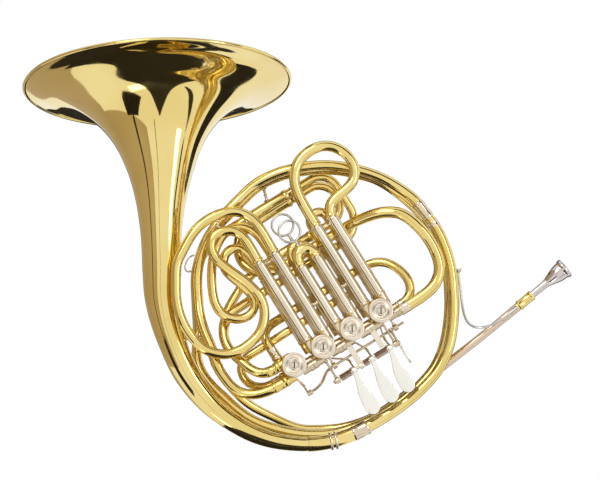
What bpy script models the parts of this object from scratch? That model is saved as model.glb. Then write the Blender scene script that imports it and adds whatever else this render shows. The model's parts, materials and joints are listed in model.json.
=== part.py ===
"""Double french horn: bell, ring tubing, four rotary valves, six valve slides,
two tuning slides, finger and thumb levers, leadpipe and mouthpiece.

Everything is laid out in the horn's own frame, in millimetres: the first number
runs along the valve row, the second along the valve slides, the third up from
the middle of the tubing towards the valve caps. One empty turns that frame into
the pose in which the horn lies on a table.
"""

import math

import bmesh
import bpy
from mathutils import Matrix, Vector
from mathutils.geometry import intersect_point_line

MM = 0.001
TOUCH = 0.3

# Valve row
VALVE_PITCH = 38.7
VALVE_AT = {4: 0.0, 3: VALVE_PITCH, 2: 2 * VALVE_PITCH, 1: 3 * VALVE_PITCH}
F_STOREY = 16.0
B_STOREY = -1.0
CASING_RADIUS = 13.8
CASING_BACK = -11.0
CASING_FRONT = 26.0
CASING_FLOOR = 2.5
CASING_WALL = 2.3
CASING_SIDES = 20
ROTOR_CLEARANCE = 0.5
SHAFT_RADIUS = 2.6
CAP_HEIGHT = 6.7
CAP_OVERHANG = 0.4

# Valve slides
SLEEVE_RADIUS = 6.2
SLEEVE_BORE = 5.5
SLEEVE_SIDES = 10
LEG_RADIUS = 4.9
LEG_SPACING = 20.8
F_LEG_SHIFT = 0.0
B_LEG_SHIFT = -3.1
SLEEVE_FLOOR = 20.0
F_SLEEVE_END = {1: 119.0, 2: 90.0, 3: 119.0}
B_SLEEVE_END = {1: 95.0, 2: 76.0, 3: 100.0}
F_LEG_DEPTH = {1: 60.0, 2: 45.0, 3: 60.0}
B_LEG_DEPTH = {1: 45.0, 2: 35.0, 3: 45.0}

# Short tubes from valve to valve
KNUCKLE_RADIUS = 4.8
KNUCKLE_SIDES = 8
F_KNUCKLE_ROW = -12.0
B_KNUCKLE_ROW = -7.5
KNUCKLE_END = VALVE_PITCH / 2 - TOUCH / 2

V4_TOP_PORT = -10.4
V4_TOP_PORT_END = 19.0
V4_LEFT_PORTS = (
    (7.0, F_STOREY, 5.5),
    (-11.5, F_STOREY, 5.8),
    (7.0, B_STOREY, 5.2),
    (-7.0, B_STOREY, 5.2),
)
BRACE_ROW = 115.0
BRACE_RADIUS = 1.6

# Tuning slides behind the valve slides
MAIN_SLIDE_UPPER = 167.0
MAIN_SLIDE_LOWER = 86.5
MAIN_SLIDE_DEPTH = -22.3
MAIN_SLIDE_RIGHT = 153.0
MAIN_CORNER_UPPER = 22.0
MAIN_CORNER_LOWER = 30.0
BIG_LOOP_ROW = MAIN_SLIDE_LOWER + 13.5
INNER_SLIDE_UPPER = 159.0
INNER_SLIDE_LOWER = 112.0
INNER_SLIDE_DEPTH = -32.5
INNER_SLIDE_RIGHT = 148.0
TUNING_SLEEVE_LEFT = 50.0
TUNING_SLEEVE_RIGHT = 100.0
TUNING_LEG_DEPTH = 42.0
CROSSING_DEPTH = -17.0

# Levers
HINGE_ROW = -41.5
HINGE_HEIGHT = 20.0
HINGE_LEFT = 29.5
HINGE_RIGHT = 115.5
HINGE_RADIUS = 1.6
HUB_BORE = 2.0
HUB_RADIUS = 3.6
HUB_WIDTH = 5.0
LEVER_AT = {1: 103.3, 2: 79.2, 3: 55.5}
SPATULA_TIP_AT = {1: 98.0, 2: 76.0, 3: 51.0}
SPATULA_START = -43.5
SPATULA_END = -97.0
SPATULA_WIDTH = 15.5
SPATULA_NECK = 4.4
SPATULA_THICK = 1.6
DROP_ARM = 34.0
LEVER_THROW = math.radians(16)
STOP_PIVOT = DROP_ARM * math.sin(LEVER_THROW) / math.sqrt(2)
STOP_TOP = -14.0
STOP_THICK = 3.3
LINK_LEVEL = -20.0
LINK_RADIUS = 1.1
POST_AT = {1: 111.0, 2: 65.0, 3: 33.5}
POST_RADIUS = 1.8
THUMB_ROW = -26.0
THUMB_HEIGHT = 5.0
THUMB_RADIUS = 1.5
THUMB_CRANK_ROW = -38.5
THUMB_CRANK_LEVEL = -17.0
THUMB_POST_AT = {1: 122.0, 3: 40.0}
SPRING_MEAN = 3.6
SPRING_WIRE = 0.5
SPRING_POINTS = 8
SPRINGS = {1: (84.0, 99.6, 6), 2: (68.7, 75.4, 3), 3: (37.6, 51.8, 5)}

# Joints of the long tubes: a place and the way on from it
TAIL_JOINT = ((-32, -86, 2), (-0.86, 0.51, 0))
BRANCH_JOINT = ((36, -105, 2), (1, -0.06, 0))
BELL_JOINT = ((-50, 199.7, -14), (0.505, 0.855, -0.11))
FERRULE_START = (218.8, 81, 2)
FERRULE_END = (221.2, 59, 2)
FERRULE_WAY = (2.4, -22, 0)
LEADPIPE_JOINT = ((-71.5, 45, -13.5), (0.03, 1, 0.1))

# Bell and mouthpiece
BELL_SHEET = 1.2
BELL_SIDES = 28
RIM_RADIUS = 155.0
RIM_WIRE = 2.2
RIM_FOLD = 2.5
TAIL_WIDTH = 22.7
MOUTH_AXIS_START = (233.0, -85.1, -25.0)
MOUTH_AXIS_RISE = math.radians(7.5)
RECEIVER_LENGTH = 45.0
RECEIVER_RADIUS = 6.0
RECEIVER_BORE = 4.9
SHANK_INSERTED = 20.0

ALONG_ROW = Vector((1, 0, 0))
ALONG_SLIDES = Vector((0, 1, 0))
UPWARD = Vector((0, 0, 1))

# Lying on the table: about which way is up, and the smallest side of the hull,
# in square metres, that counts as one to lie on
USUAL_UP = (-0.01, 0.40, 0.917)
LEAST_SUPPORT = 0.003

BRASS = (0.83, 0.58, 0.24, 1)
NICKEL = (0.74, 0.70, 0.66, 1)
SILVER = (0.86, 0.86, 0.85, 1)
DARK_STEEL = (0.13, 0.13, 0.14, 1)


def clear_scene():
    for old in list(bpy.data.objects):
        bpy.data.objects.remove(old, do_unlink=True)


def finish(name, colour, roughness=0.2):
    material = bpy.data.materials.new(name)
    material.use_nodes = True
    shader = material.node_tree.nodes["Principled BSDF"]
    shader.inputs["Base Color"].default_value = colour
    shader.inputs["Metallic"].default_value = 1.0
    shader.inputs["Roughness"].default_value = roughness
    return material


def show(name, data, colour):
    piece = bpy.data.objects.new(name, data)
    PARTS.objects.link(piece)
    data.materials.clear()
    data.materials.append(finish(name, colour))
    return piece


def smooth(points, spacing):
    """A centripetal Catmull-Rom curve through the points, read about every
    `spacing` millimetres. A fourth number in each point is the tube's radius."""
    known = [Vector(point) for point in points]
    known = [2 * known[0] - known[1]] + known + [2 * known[-1] - known[-2]]
    line = [known[1]]
    for index in range(1, len(known) - 2):
        p0, p1, p2, p3 = known[index - 1:index + 3]
        t1 = (p1 - p0).length ** 0.5
        t2 = t1 + (p2 - p1).length ** 0.5
        t3 = t2 + (p3 - p2).length ** 0.5
        count = max(1, round((p2 - p1).length / spacing))
        for step in range(1, count + 1):
            t = t1 + (t2 - t1) * step / count
            a1 = p0 * ((t1 - t) / t1) + p1 * (t / t1)
            a2 = p1 * ((t2 - t) / (t2 - t1)) + p2 * ((t - t1) / (t2 - t1))
            a3 = p2 * ((t3 - t) / (t3 - t2)) + p3 * ((t - t2) / (t3 - t2))
            b1 = a1 * ((t2 - t) / t2) + a2 * (t / t2)
            b2 = a2 * ((t3 - t) / (t3 - t1)) + a3 * ((t - t1) / (t3 - t1))
            line.append(b1 * ((t2 - t) / (t2 - t1)) + b2 * ((t - t1) / (t2 - t1)))
    return line


def run_in(place, way, radius=None, length=7.0):
    """The two points that start a tube square to the piece it meets, with half
    of the touching gap left at its end."""
    way = Vector(way).normalized()
    points = [Vector(place) + way * TOUCH / 2, Vector(place) + way * length]
    if radius is None:
        return points
    return [(*point, radius) for point in points]


def run_out(place, way, radius=None, length=7.0):
    """The same two points in the order in which a tube ends."""
    return run_in(place, -Vector(way), radius, length)[::-1]


def arc(centre, radius, start, end, level, count):
    """Points of an arc in the horn's plane, angles in degrees."""
    points = []
    for step in range(count + 1):
        angle = math.radians(start + (end - start) * step / count)
        points.append(Vector((centre[0] + radius * math.cos(angle),
                              centre[1] + radius * math.sin(angle), level)))
    return points


def tube_curve(name, line, radius=None, sides=8, caps=True):
    curve = bpy.data.curves.new(name, "CURVE")
    curve.dimensions = "3D"
    curve.bevel_depth = (radius or 1.0) * MM
    curve.bevel_resolution = sides // 2 - 2
    curve.use_fill_caps = caps
    spline = curve.splines.new("POLY")
    spline.points.add(len(line) - 1)
    for point, place in zip(spline.points, line):
        point.co = (place[0] * MM, place[1] * MM, place[2] * MM, 1)
        point.radius = 1.0 if radius else place[3]
    return curve


def tube(name, line, colour, radius=None, sides=8):
    return show(name, tube_curve(name, line, radius, sides), colour)


def tube_mesh(name, line, radius=None, sides=8, caps=True):
    """The same tube as a welded mesh, for pieces that are joined or hollow."""
    curve = tube_curve(name, line, radius, sides, caps)
    carrier = bpy.data.objects.new(name, curve)
    PARTS.objects.link(carrier)
    graph = bpy.context.evaluated_depsgraph_get()
    mesh = bpy.data.meshes.new_from_object(carrier.evaluated_get(graph))
    bpy.data.objects.remove(carrier)
    work = bmesh.new()
    work.from_mesh(mesh)
    bmesh.ops.remove_doubles(work, verts=work.verts, dist=0.00001)
    bmesh.ops.recalc_face_normals(work, faces=work.faces)
    work.to_mesh(mesh)
    work.free()
    return mesh


def rod_mesh(start, end, radius, sides, end_radius=None):
    start = Vector(start)
    end = Vector(end)
    way = end - start
    turn = way.to_track_quat("Z", "Y").to_matrix().to_4x4()
    place = Matrix.Translation((start + end) / 2 * MM) @ turn
    work = bmesh.new()
    bmesh.ops.create_cone(work, cap_ends=True, segments=sides, radius1=radius * MM,
                          radius2=(end_radius or radius) * MM, depth=way.length * MM,
                          matrix=place)
    mesh = bpy.data.meshes.new("rod")
    work.to_mesh(mesh)
    work.free()
    return mesh


def box_mesh(low, high):
    low = Vector(low)
    high = Vector(high)
    size = high - low
    place = Matrix.Translation((low + high) / 2 * MM) @ Matrix.Diagonal((*(size * MM), 1))
    work = bmesh.new()
    bmesh.ops.create_cube(work, size=1, matrix=place)
    mesh = bpy.data.meshes.new("box")
    work.to_mesh(mesh)
    work.free()
    return mesh


def plate_mesh(outline, thickness, middle):
    """A flat outline in the horn's plane, `thickness` thick about `middle`."""
    curve = bpy.data.curves.new("plate", "CURVE")
    curve.dimensions = "2D"
    curve.fill_mode = "BOTH"
    curve.extrude = thickness / 2 * MM
    spline = curve.splines.new("POLY")
    spline.points.add(len(outline) - 1)
    spline.use_cyclic_u = True
    for point, place in zip(spline.points, outline):
        point.co = (place[0] * MM, place[1] * MM, 0, 1)
    carrier = bpy.data.objects.new("plate", curve)
    PARTS.objects.link(carrier)
    graph = bpy.context.evaluated_depsgraph_get()
    mesh = bpy.data.meshes.new_from_object(carrier.evaluated_get(graph))
    bpy.data.objects.remove(carrier)
    work = bmesh.new()
    work.from_mesh(mesh)
    bmesh.ops.remove_doubles(work, verts=work.verts, dist=0.00001)
    bmesh.ops.recalc_face_normals(work, faces=work.faces)
    work.to_mesh(mesh)
    work.free()
    mesh.transform(Matrix.Translation((0, 0, middle * MM)))
    return mesh


def combined(name, first, added, cut, colour):
    """Joins the added meshes to the first one and then takes the cut ones away."""
    piece = show(name, first, colour)
    for operation, meshes in (("UNION", added), ("DIFFERENCE", cut)):
        for mesh in meshes:
            tool = bpy.data.objects.new(name + "_tool", mesh)
            CUTTERS.objects.link(tool)
            tool.hide_render = True
            tool.display_type = "WIRE"
            step = piece.modifiers.new(operation, "BOOLEAN")
            step.operation = operation
            step.object = tool
            graph = bpy.context.evaluated_depsgraph_get()
            result = bpy.data.meshes.new_from_object(piece.evaluated_get(graph))
            piece.modifiers.clear()
            piece.data = result
            bpy.data.objects.remove(tool)
    piece.data.name = name
    return piece


def turned(name, profile, axis_start, axis_way, colour, steps):
    """Turns a profile of (radius, height) round an axis. The profile runs down
    its outer side from top to bottom."""
    mesh = bpy.data.meshes.new(name)
    work = bmesh.new()
    corners = [work.verts.new((radius * MM, 0, height * MM)) for radius, height in profile]
    for first, second in zip(corners, corners[1:]):
        work.edges.new((first, second))
    if profile[0][0] > 0:
        work.edges.new((corners[-1], corners[0]))
    work.to_mesh(mesh)
    work.free()
    piece = show(name, mesh, colour)
    screw = piece.modifiers.new("turn", "SCREW")
    screw.steps = steps
    screw.render_steps = steps
    screw.use_merge_vertices = True
    screw.merge_threshold = 0.00001
    graph = bpy.context.evaluated_depsgraph_get()
    result = bpy.data.meshes.new_from_object(piece.evaluated_get(graph))
    piece.modifiers.clear()
    turn = Vector(axis_way).to_track_quat("Z", "Y").to_matrix().to_4x4()
    result.transform(Matrix.Translation(Vector(axis_start) * MM) @ turn)
    result.name = name
    piece.data = result
    return piece


def put_origin(piece, place):
    shift = Vector(place) * MM
    piece.data.transform(Matrix.Translation(-shift))
    piece.location = shift


def leg_row(valve, storey):
    """Where the two legs of a valve's slide stand along the valve row."""
    shift = F_LEG_SHIFT if storey == "f" else B_LEG_SHIFT
    middle = VALVE_AT[valve] + shift
    return middle - LEG_SPACING / 2, middle + LEG_SPACING / 2


def make_casing(valve):
    at = VALVE_AT[valve]
    barrel = rod_mesh((at, 0, CASING_BACK), (at, 0, CASING_FRONT), CASING_RADIUS, CASING_SIDES)
    added = []
    cut = [
        rod_mesh((at, 0, CASING_BACK + CASING_FLOOR), (at, 0, CASING_FRONT + 5),
                 CASING_RADIUS - CASING_WALL, CASING_SIDES),
        rod_mesh((at, 0, CASING_BACK - 5), (at, 0, CASING_BACK + CASING_FLOOR + 2),
                 SHAFT_RADIUS + 0.7, 12),
    ]
    for row, storey in ((F_KNUCKLE_ROW, F_STOREY), (B_KNUCKLE_ROW, B_STOREY)):
        added.append(rod_mesh((at + 6, row, storey), (at + KNUCKLE_END, row, storey),
                              KNUCKLE_RADIUS, KNUCKLE_SIDES))
        if valve != 4:
            added.append(rod_mesh((at - 6, row, storey), (at - KNUCKLE_END, row, storey),
                                  KNUCKLE_RADIUS, KNUCKLE_SIDES))
    if valve == 4:
        for row, storey, radius in V4_LEFT_PORTS:
            added.append(rod_mesh((at - 6, row, storey), (at - KNUCKLE_END, row, storey),
                                  radius, KNUCKLE_SIDES))
        added.append(rod_mesh((at + V4_TOP_PORT, 4, B_STOREY),
                              (at + V4_TOP_PORT, V4_TOP_PORT_END, B_STOREY), 5.6, KNUCKLE_SIDES))
    else:
        for storey, height, ends in (("f", F_STOREY, F_SLEEVE_END), ("b", B_STOREY, B_SLEEVE_END)):
            rows = leg_row(valve, storey)
            for row in rows:
                added.append(rod_mesh((row, 1.5, height), (row, ends[valve], height),
                                      SLEEVE_RADIUS, SLEEVE_SIDES))
                cut.append(rod_mesh((row, SLEEVE_FLOOR, height), (row, ends[valve] + 5, height),
                                    SLEEVE_BORE, SLEEVE_SIDES))
            if storey == "f" and valve != 2:
                added.append(rod_mesh((rows[0], BRACE_ROW, height), (rows[1], BRACE_ROW, height),
                                      BRACE_RADIUS, 6))
        post = POST_AT[valve]
        foot = F_KNUCKLE_ROW if valve != 1 else -9.0
        added.append(rod_mesh((post, foot, F_STOREY), (post, HINGE_ROW + 1, HINGE_HEIGHT),
                              POST_RADIUS, 8))
        added.append(rod_mesh((post - 2.5, HINGE_ROW, HINGE_HEIGHT),
                              (post + 2.5, HINGE_ROW, HINGE_HEIGHT), HUB_RADIUS, 12))
        cut.append(rod_mesh((post - 9, HINGE_ROW, HINGE_HEIGHT),
                            (post + 9, HINGE_ROW, HINGE_HEIGHT), HUB_BORE, 12))
    if valve in THUMB_POST_AT:
        post = THUMB_POST_AT[valve]
        added.append(rod_mesh((post, -9, THUMB_HEIGHT + 2), (post, THUMB_ROW + 1, THUMB_HEIGHT),
                              POST_RADIUS, 8))
        added.append(rod_mesh((post - 2.5, THUMB_ROW, THUMB_HEIGHT),
                              (post + 2.5, THUMB_ROW, THUMB_HEIGHT), 3.8, 12))
        cut.append(rod_mesh((post - 9, THUMB_ROW, THUMB_HEIGHT),
                            (post + 9, THUMB_ROW, THUMB_HEIGHT), THUMB_RADIUS + 0.45, 12))
    return combined(f"valve_{valve}_casing", barrel, added, cut, BRASS)


def make_rotor(valve):
    """The rotor with its shaft and stop arm; its pivot hole lies 45 degrees
    short of the row across the valve, and the rotor turns by 90 degrees."""
    at = VALVE_AT[valve]
    radius = CASING_RADIUS - CASING_WALL - ROTOR_CLEARANCE
    floor = CASING_BACK + CASING_FLOOR
    plug = rod_mesh((at, 0, floor + 0.4), (at, 0, CASING_FRONT - 1.5), radius, CASING_SIDES)
    shaft = rod_mesh((at, 0, STOP_TOP - 1), (at, 0, floor + 2), SHAFT_RADIUS, 12)
    hub = rod_mesh((at, 0, STOP_TOP - STOP_THICK), (at, 0, STOP_TOP), 5.0, 12)
    side = STOP_PIVOT / math.sqrt(2)
    ear = rod_mesh((at - side, -side, STOP_TOP - STOP_THICK + 0.2),
                   (at - side, -side, STOP_TOP - 0.2), 2.8, 8)
    rotor = combined(f"valve_{valve}_rotor", plug, [shaft, hub, ear], [], NICKEL)
    put_origin(rotor, (at, 0, STOP_TOP))
    return rotor


def make_cap(valve):
    at = VALVE_AT[valve]
    base = CASING_FRONT + TOUCH
    edge = CASING_RADIUS + CAP_OVERHANG
    profile = [(0, CAP_HEIGHT - 1.2), (5.0, CAP_HEIGHT - 1.2), (5.8, CAP_HEIGHT),
               (edge - 1.5, CAP_HEIGHT), (edge, CAP_HEIGHT - 1.5), (edge, 0), (0, 0)]
    return turned(f"valve_{valve}_cap", profile, (at, 0, base), (0, 0, 1), NICKEL, CASING_SIDES)


def sleeve(name, start, end, colour):
    length = (Vector(end) - Vector(start)).length
    profile = [(SLEEVE_BORE, length), (SLEEVE_RADIUS, length), (SLEEVE_RADIUS, 0), (SLEEVE_BORE, 0)]
    return turned(name, profile, start, Vector(end) - Vector(start), colour, SLEEVE_SIDES)


def pull_ring(centre, level, stem_from):
    """A wire ring with its stem, which stands on a slide's bow."""
    major = 12.25
    minor = 1.3
    ring_line = arc(centre, major, -90, 270, level, 20)[:-1]
    ring = tube_curve("ring", ring_line, minor, 6, False)
    ring.splines[0].use_cyclic_u = True
    carrier = bpy.data.objects.new("ring", ring)
    PARTS.objects.link(carrier)
    graph = bpy.context.evaluated_depsgraph_get()
    mesh = bpy.data.meshes.new_from_object(carrier.evaluated_get(graph))
    bpy.data.objects.remove(carrier)
    stem = rod_mesh((centre[0], stem_from, level), (centre[0], centre[1] - major + 0.4, level), 2.2, 8)
    return [stem, mesh]


def valve_slide_line(valve, storey, bow):
    """Down one leg, round the bow and up the other; the bow's points start at
    the mouth of the right-hand sleeve."""
    left, right = leg_row(valve, storey)
    height = F_STOREY if storey == "f" else B_STOREY
    ends = F_SLEEVE_END if storey == "f" else B_SLEEVE_END
    depths = F_LEG_DEPTH if storey == "f" else B_LEG_DEPTH
    low = ends[valve] - depths[valve]
    return [Vector((right, low, height))] + bow + [Vector((left, low, height))]


def make_valve_slides():
    slides = []
    f1_left, f1_right = leg_row(1, "f")
    bow = smooth([
        (f1_right, 121, F_STOREY), (129.5, 130, F_STOREY), (140, 135, F_STOREY),
        (154, 136.5, F_STOREY), (169, 141, F_STOREY), (178, 154, F_STOREY),
        (177, 174, F_STOREY), (164, 191, F_STOREY), (145, 196, F_STOREY),
        (125, 191, F_STOREY), (112, 177, F_STOREY), (107, 158, F_STOREY),
        (106, 140, F_STOREY), (f1_left, 121, F_STOREY)], 10)
    line = valve_slide_line(1, "f", bow)
    slides.append(tube("f_slide_1", line, BRASS, LEG_RADIUS))

    left, right = leg_row(2, "f")
    centre = ((left + right) / 2, 95.5)
    line = valve_slide_line(2, "f", arc(centre, LEG_SPACING / 2, 0, 180, F_STOREY, 8))
    added = pull_ring((76.5, 130.5), F_STOREY, 108)
    slides.append(combined("f_slide_2", tube_mesh("bow", line, LEG_RADIUS), added, [], BRASS))

    left, right = leg_row(3, "f")
    bow = smooth([
        (right, 121, F_STOREY), (50, 140, F_STOREY), (50, 154, F_STOREY), (48, 166, F_STOREY),
        (42, 177, F_STOREY), (31.5, 185.5, F_STOREY), (18, 189.5, F_STOREY),
        (3, 191, F_STOREY), (-16, 187.5, F_STOREY), (-35, 177.5, F_STOREY),
        (-52, 166.5, F_STOREY), (-63, 150.5, F_STOREY), (-72.5, 134.5, F_STOREY),
        (-79, 116.5, F_STOREY), (-81.5, 97, F_STOREY), (-77, 70.5, F_STOREY),
        (-68.5, 58.5, F_STOREY), (-58.5, 50.5, F_STOREY), (-42.5, 46, F_STOREY),
        (-28.5, 46.5, F_STOREY), (-13.5, 50.5, F_STOREY), (-1, 60.5, F_STOREY),
        (6, 71.5, F_STOREY), (9, 85.5, F_STOREY), (5, 106.5, F_STOREY),
        (-1.5, 122.5, F_STOREY), (-8, 139.5, F_STOREY), (-11, 151.5, F_STOREY),
        (-9.5, 161.5, F_STOREY), (-4, 169.5, F_STOREY), (4.5, 172.5, F_STOREY),
        (14, 170.5, F_STOREY), (22, 166, F_STOREY), (28, 156.5, F_STOREY),
        (29.5, 143, F_STOREY), (left, 121, F_STOREY)], 15)
    slides.append(tube("f_slide_3", valve_slide_line(3, "f", bow), BRASS, LEG_RADIUS))

    left, right = leg_row(1, "b")
    centre = ((left + right) / 2, 122)
    line = valve_slide_line(1, "b", arc(centre, LEG_SPACING / 2, 0, 180, B_STOREY, 8))
    slides.append(tube("b_flat_slide_1", line, BRASS, LEG_RADIUS))

    left, right = leg_row(2, "b")
    centre = ((left + right) / 2, 102.5)
    line = valve_slide_line(2, "b", arc(centre, LEG_SPACING / 2, 0, 180, B_STOREY, 8))
    added = pull_ring((75, 140.5), B_STOREY, 115)
    slides.append(combined("b_flat_slide_2", tube_mesh("bow", line, LEG_RADIUS), added, [], BRASS))

    left, right = leg_row(3, "b")
    bow = smooth([
        (right, 104, B_STOREY), (right, 130, B_STOREY), (45, 147, B_STOREY),
        (39, 159.5, B_STOREY), (28, 167, B_STOREY), (14, 167.5, B_STOREY), (0, 161, B_STOREY),
        (-13, 149.5, B_STOREY), (-24, 134.5, B_STOREY), (-33, 118, B_STOREY),
        (-38, 103, B_STOREY), (-35.5, 88, B_STOREY), (-25, 76.5, B_STOREY),
        (-12, 73, B_STOREY), (-1, 78, B_STOREY), (3.5, 88, B_STOREY), (1.5, 100, B_STOREY),
        (-3, 115, B_STOREY), (-7, 127, B_STOREY), (-6.5, 137.5, B_STOREY), (1, 146.5, B_STOREY),
        (11, 148.5, B_STOREY), (21, 143, B_STOREY), (25, 131, B_STOREY),
        (left, 104, B_STOREY)], 14)
    slides.append(tube("b_flat_slide_3", valve_slide_line(3, "b", bow), BRASS, LEG_RADIUS))
    return slides


def make_tuning_slides():
    z = MAIN_SLIDE_DEPTH
    start = TUNING_SLEEVE_RIGHT - TUNING_LEG_DEPTH
    upper = (MAIN_SLIDE_RIGHT - MAIN_CORNER_UPPER, MAIN_SLIDE_UPPER - MAIN_CORNER_UPPER)
    lower = (MAIN_SLIDE_RIGHT - MAIN_CORNER_LOWER, MAIN_SLIDE_LOWER + MAIN_CORNER_LOWER)
    line = [Vector((start, MAIN_SLIDE_UPPER, z))]
    line += arc(upper, MAIN_CORNER_UPPER, 90, 0, z, 5)
    line += arc(lower, MAIN_CORNER_LOWER, 0, -90, z, 5)
    line += [Vector((start, MAIN_SLIDE_LOWER, z))]
    tube("main_tuning_slide", line, BRASS, LEG_RADIUS)

    z = INNER_SLIDE_DEPTH
    radius = (INNER_SLIDE_UPPER - INNER_SLIDE_LOWER) / 2
    centre = (INNER_SLIDE_RIGHT - radius, INNER_SLIDE_LOWER + radius)
    line = [Vector((start, INNER_SLIDE_UPPER, z))]
    line += arc(centre, radius, 90, -90, z, 10)
    line += [Vector((start, INNER_SLIDE_LOWER, z))]
    tube("f_tuning_slide", line, BRASS, LEG_RADIUS)

    for name, row, level in (
            ("main_tuning_sleeve_upper", MAIN_SLIDE_UPPER, MAIN_SLIDE_DEPTH),
            ("main_tuning_sleeve_lower", MAIN_SLIDE_LOWER, MAIN_SLIDE_DEPTH),
            ("f_tuning_sleeve_upper", INNER_SLIDE_UPPER, INNER_SLIDE_DEPTH),
            ("f_tuning_sleeve_lower", INNER_SLIDE_LOWER, INNER_SLIDE_DEPTH)):
        sleeve(name, (TUNING_SLEEVE_LEFT, row, level), (TUNING_SLEEVE_RIGHT, row, level), NICKEL)


def make_ring_tubing():
    port = -(KNUCKLE_END + TOUCH / 2)
    branch = smooth([
        *run_in((port, -11.5, F_STOREY), -ALONG_ROW, 5.8), (-43, -9.5, 15, 5.8),
        (-59, -3, 12, 5.8), (-70, 10, 8, 5.8), (-73.5, 28, 5, 5.8), (-73, 48, 3, 5.8),
        (-67, 66, 0, 5.8), (-65, 82, -4, 5.9), (-59, 103, -8.5, 5.9), (-50, 121, -12.5, 5.9),
        (-37, 143.5, -12.5, 6), (-23.5, 158, -12.5, 6), (-8, 170, -12.5, 6),
        (8.5, 179, -12.5, 6), (28, 186, -12.5, 6), (48, 191, -12.5, 6), (73, 196, -9, 6),
        (94, 195, -4, 6), (118, 189, 0, 6), (153, 172, 2, 6), (177, 152.5, 2, 6),
        (193, 135, 2, 6), (205, 117, 2, 6), (213.5, 99, 2, 6),
        *run_out(FERRULE_START, FERRULE_WAY, 6)], 26)
    tube("first_branch_upper", branch, BRASS)
    tube("first_branch_ferrule",
         [run_in(FERRULE_START, FERRULE_WAY)[0], run_out(FERRULE_END, FERRULE_WAY)[1]],
         NICKEL, 7.0, 12)
    branch = smooth([
        *run_in(FERRULE_END, FERRULE_WAY, 6), (221.5, 37, 2, 6), (218, 17, 2, 6), (212, -3, 2, 6), (201, -25, 2, 6),
        (188, -47, 2, 6.1), (164, -76, 2, 6.3), (139, -93, 2, 6.5), (107, -102.5, 2, 6.7),
        (76, -106, 2, 6.9), (56, -106, 2, 7), *run_out(BRANCH_JOINT[0], -Vector(BRANCH_JOINT[1]), 7)],
        22)
    tube("first_branch_lower", branch, BRASS)
    tube("bell_tail_sleeve", smooth([
        *run_in(BRANCH_JOINT[0], -Vector(BRANCH_JOINT[1]), 8), (14, -102.8, 2, 8.2),
        (-6, -98, 2, 8.5), (-17, -93.7, 2, 8.7), *run_out(*TAIL_JOINT, 8.9)], 14), NICKEL)
    tail = tube_mesh("bell_tail", smooth([
        *run_in(*TAIL_JOINT, 8.2), (-63, -62, 2, 9.2), (-80, -41, 1, 10.2),
        (-96, -10, 0, 11), (-104, 17, -2, 13), (-107, 57, -4, 15), (-102, 92, -6, 16),
        (-94, 121, -8, 18), (-83.5, 145, -10, 20), (-68, 169.5, -12, 22.2),
        *run_out(*BELL_JOINT, TAIL_WIDTH, 14)], 26), None, 10, False)
    sheet(show("bell_tail", tail, BRASS))
    ring_at = Vector((-6, -98, 2))
    ring_way = Vector((13, -5, 0)).normalized()
    profile = [(9.2, 3.4), (10.6, 3.4), (10.6, 0), (9.2, 0)]
    turned("bell_tail_clamp", profile, ring_at - ring_way * 1.7, ring_way, NICKEL, 16)

    mouth = Vector(MOUTH_AXIS_START)
    tube("leadpipe", smooth([
        (*mouth, 5.0), (205, -88.5, -25, 5.0), (146, -94.5, -25, 5.0), (100, -98.5, -25, 5.0),
        (52, -100.6, -25, 5.1), (33, -98, -27, 5.1), (10, -91, -31.5, 5.2),
        (-10, -80, -35, 5.2), (-29, -67, -36, 5.3), (-46, -43.5, -34, 5.3),
        (-63, -15, -29, 5.4), (-70, 8, -22, 5.4), (-71.8, 27, -16.3, 5.4),
        *run_out(*LEADPIPE_JOINT, 5.5)], 26), BRASS)
    outer = [(place, row + MAIN_SLIDE_UPPER, level, 5.7) for place, row, level in (
        (-8, 3, -24.8), (8.5, 11, -24.8), (29, 15, -24.8), (49, 20, -24.8), (73, 25, -21.2),
        (94, 24, -16.3), (117, 18, -12), (152, 1, -11))]
    inner = [(place, MAIN_SLIDE_UPPER, level, 5.7) for place, level in (
        (6, -31), (20, -25), (32, -22.6))]
    tube("ring_second_tube", smooth([
        *run_in(*LEADPIPE_JOINT, 5.7), (-67, 66, -12.5, 5.7), (-65, 82, -16.3, 5.7),
        (-59, 103, -20.8, 5.7), (-50, 121, -24.8, 5.7), (-37, 143.5, -24.8, 5.7),
        (-23.5, 158, -24.8, 5.7), *outer, (180, 144, -11, 5.7),
        (195, 127, -11, 5.7), (206, 105, -11, 5.7), (215, 77, -11, 5.7), (218, 60, -11, 5.7),
        (217.5, 36, -11, 5.7), (214, 16, -11, 5.7), (209, -2, -11, 5.7), (198, -24, -11, 5.7),
        (185, -45, -11, 5.7), (161, -73, -12, 5.7), (137, -90, -12.5, 5.7),
        (107, -99, -13, 5.7), (76, -103, -13, 5.7), (47, -102.5, -13.3, 5.7),
        (19, -98, -14.5, 5.7), (0, -92, -15.5, 5.7), (-16, -84, -16, 5.7),
        (-34, -71.5, -16, 5.7), (-54, -52, -16, 5.7), (-72, -28, -16, 5.7),
        (-85, 10, -17, 5.7), (-91, 40, -20, 5.7), (-88, 60, -26, 5.7), (-76, 78, -34, 5.7),
        (-66, 92, -37, 5.7), (-59, 105, -37.5, 5.7), (-50, 121, -37.5, 5.7),
        (-37, 143, -37.5, 5.7), (-23, 157, -37.5, 5.7), (-8, MAIN_SLIDE_UPPER - 3, -36, 5.7), *inner,
        *run_out((TUNING_SLEEVE_LEFT, MAIN_SLIDE_UPPER, MAIN_SLIDE_DEPTH), ALONG_ROW, 5.7)],
        28), BRASS)


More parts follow.
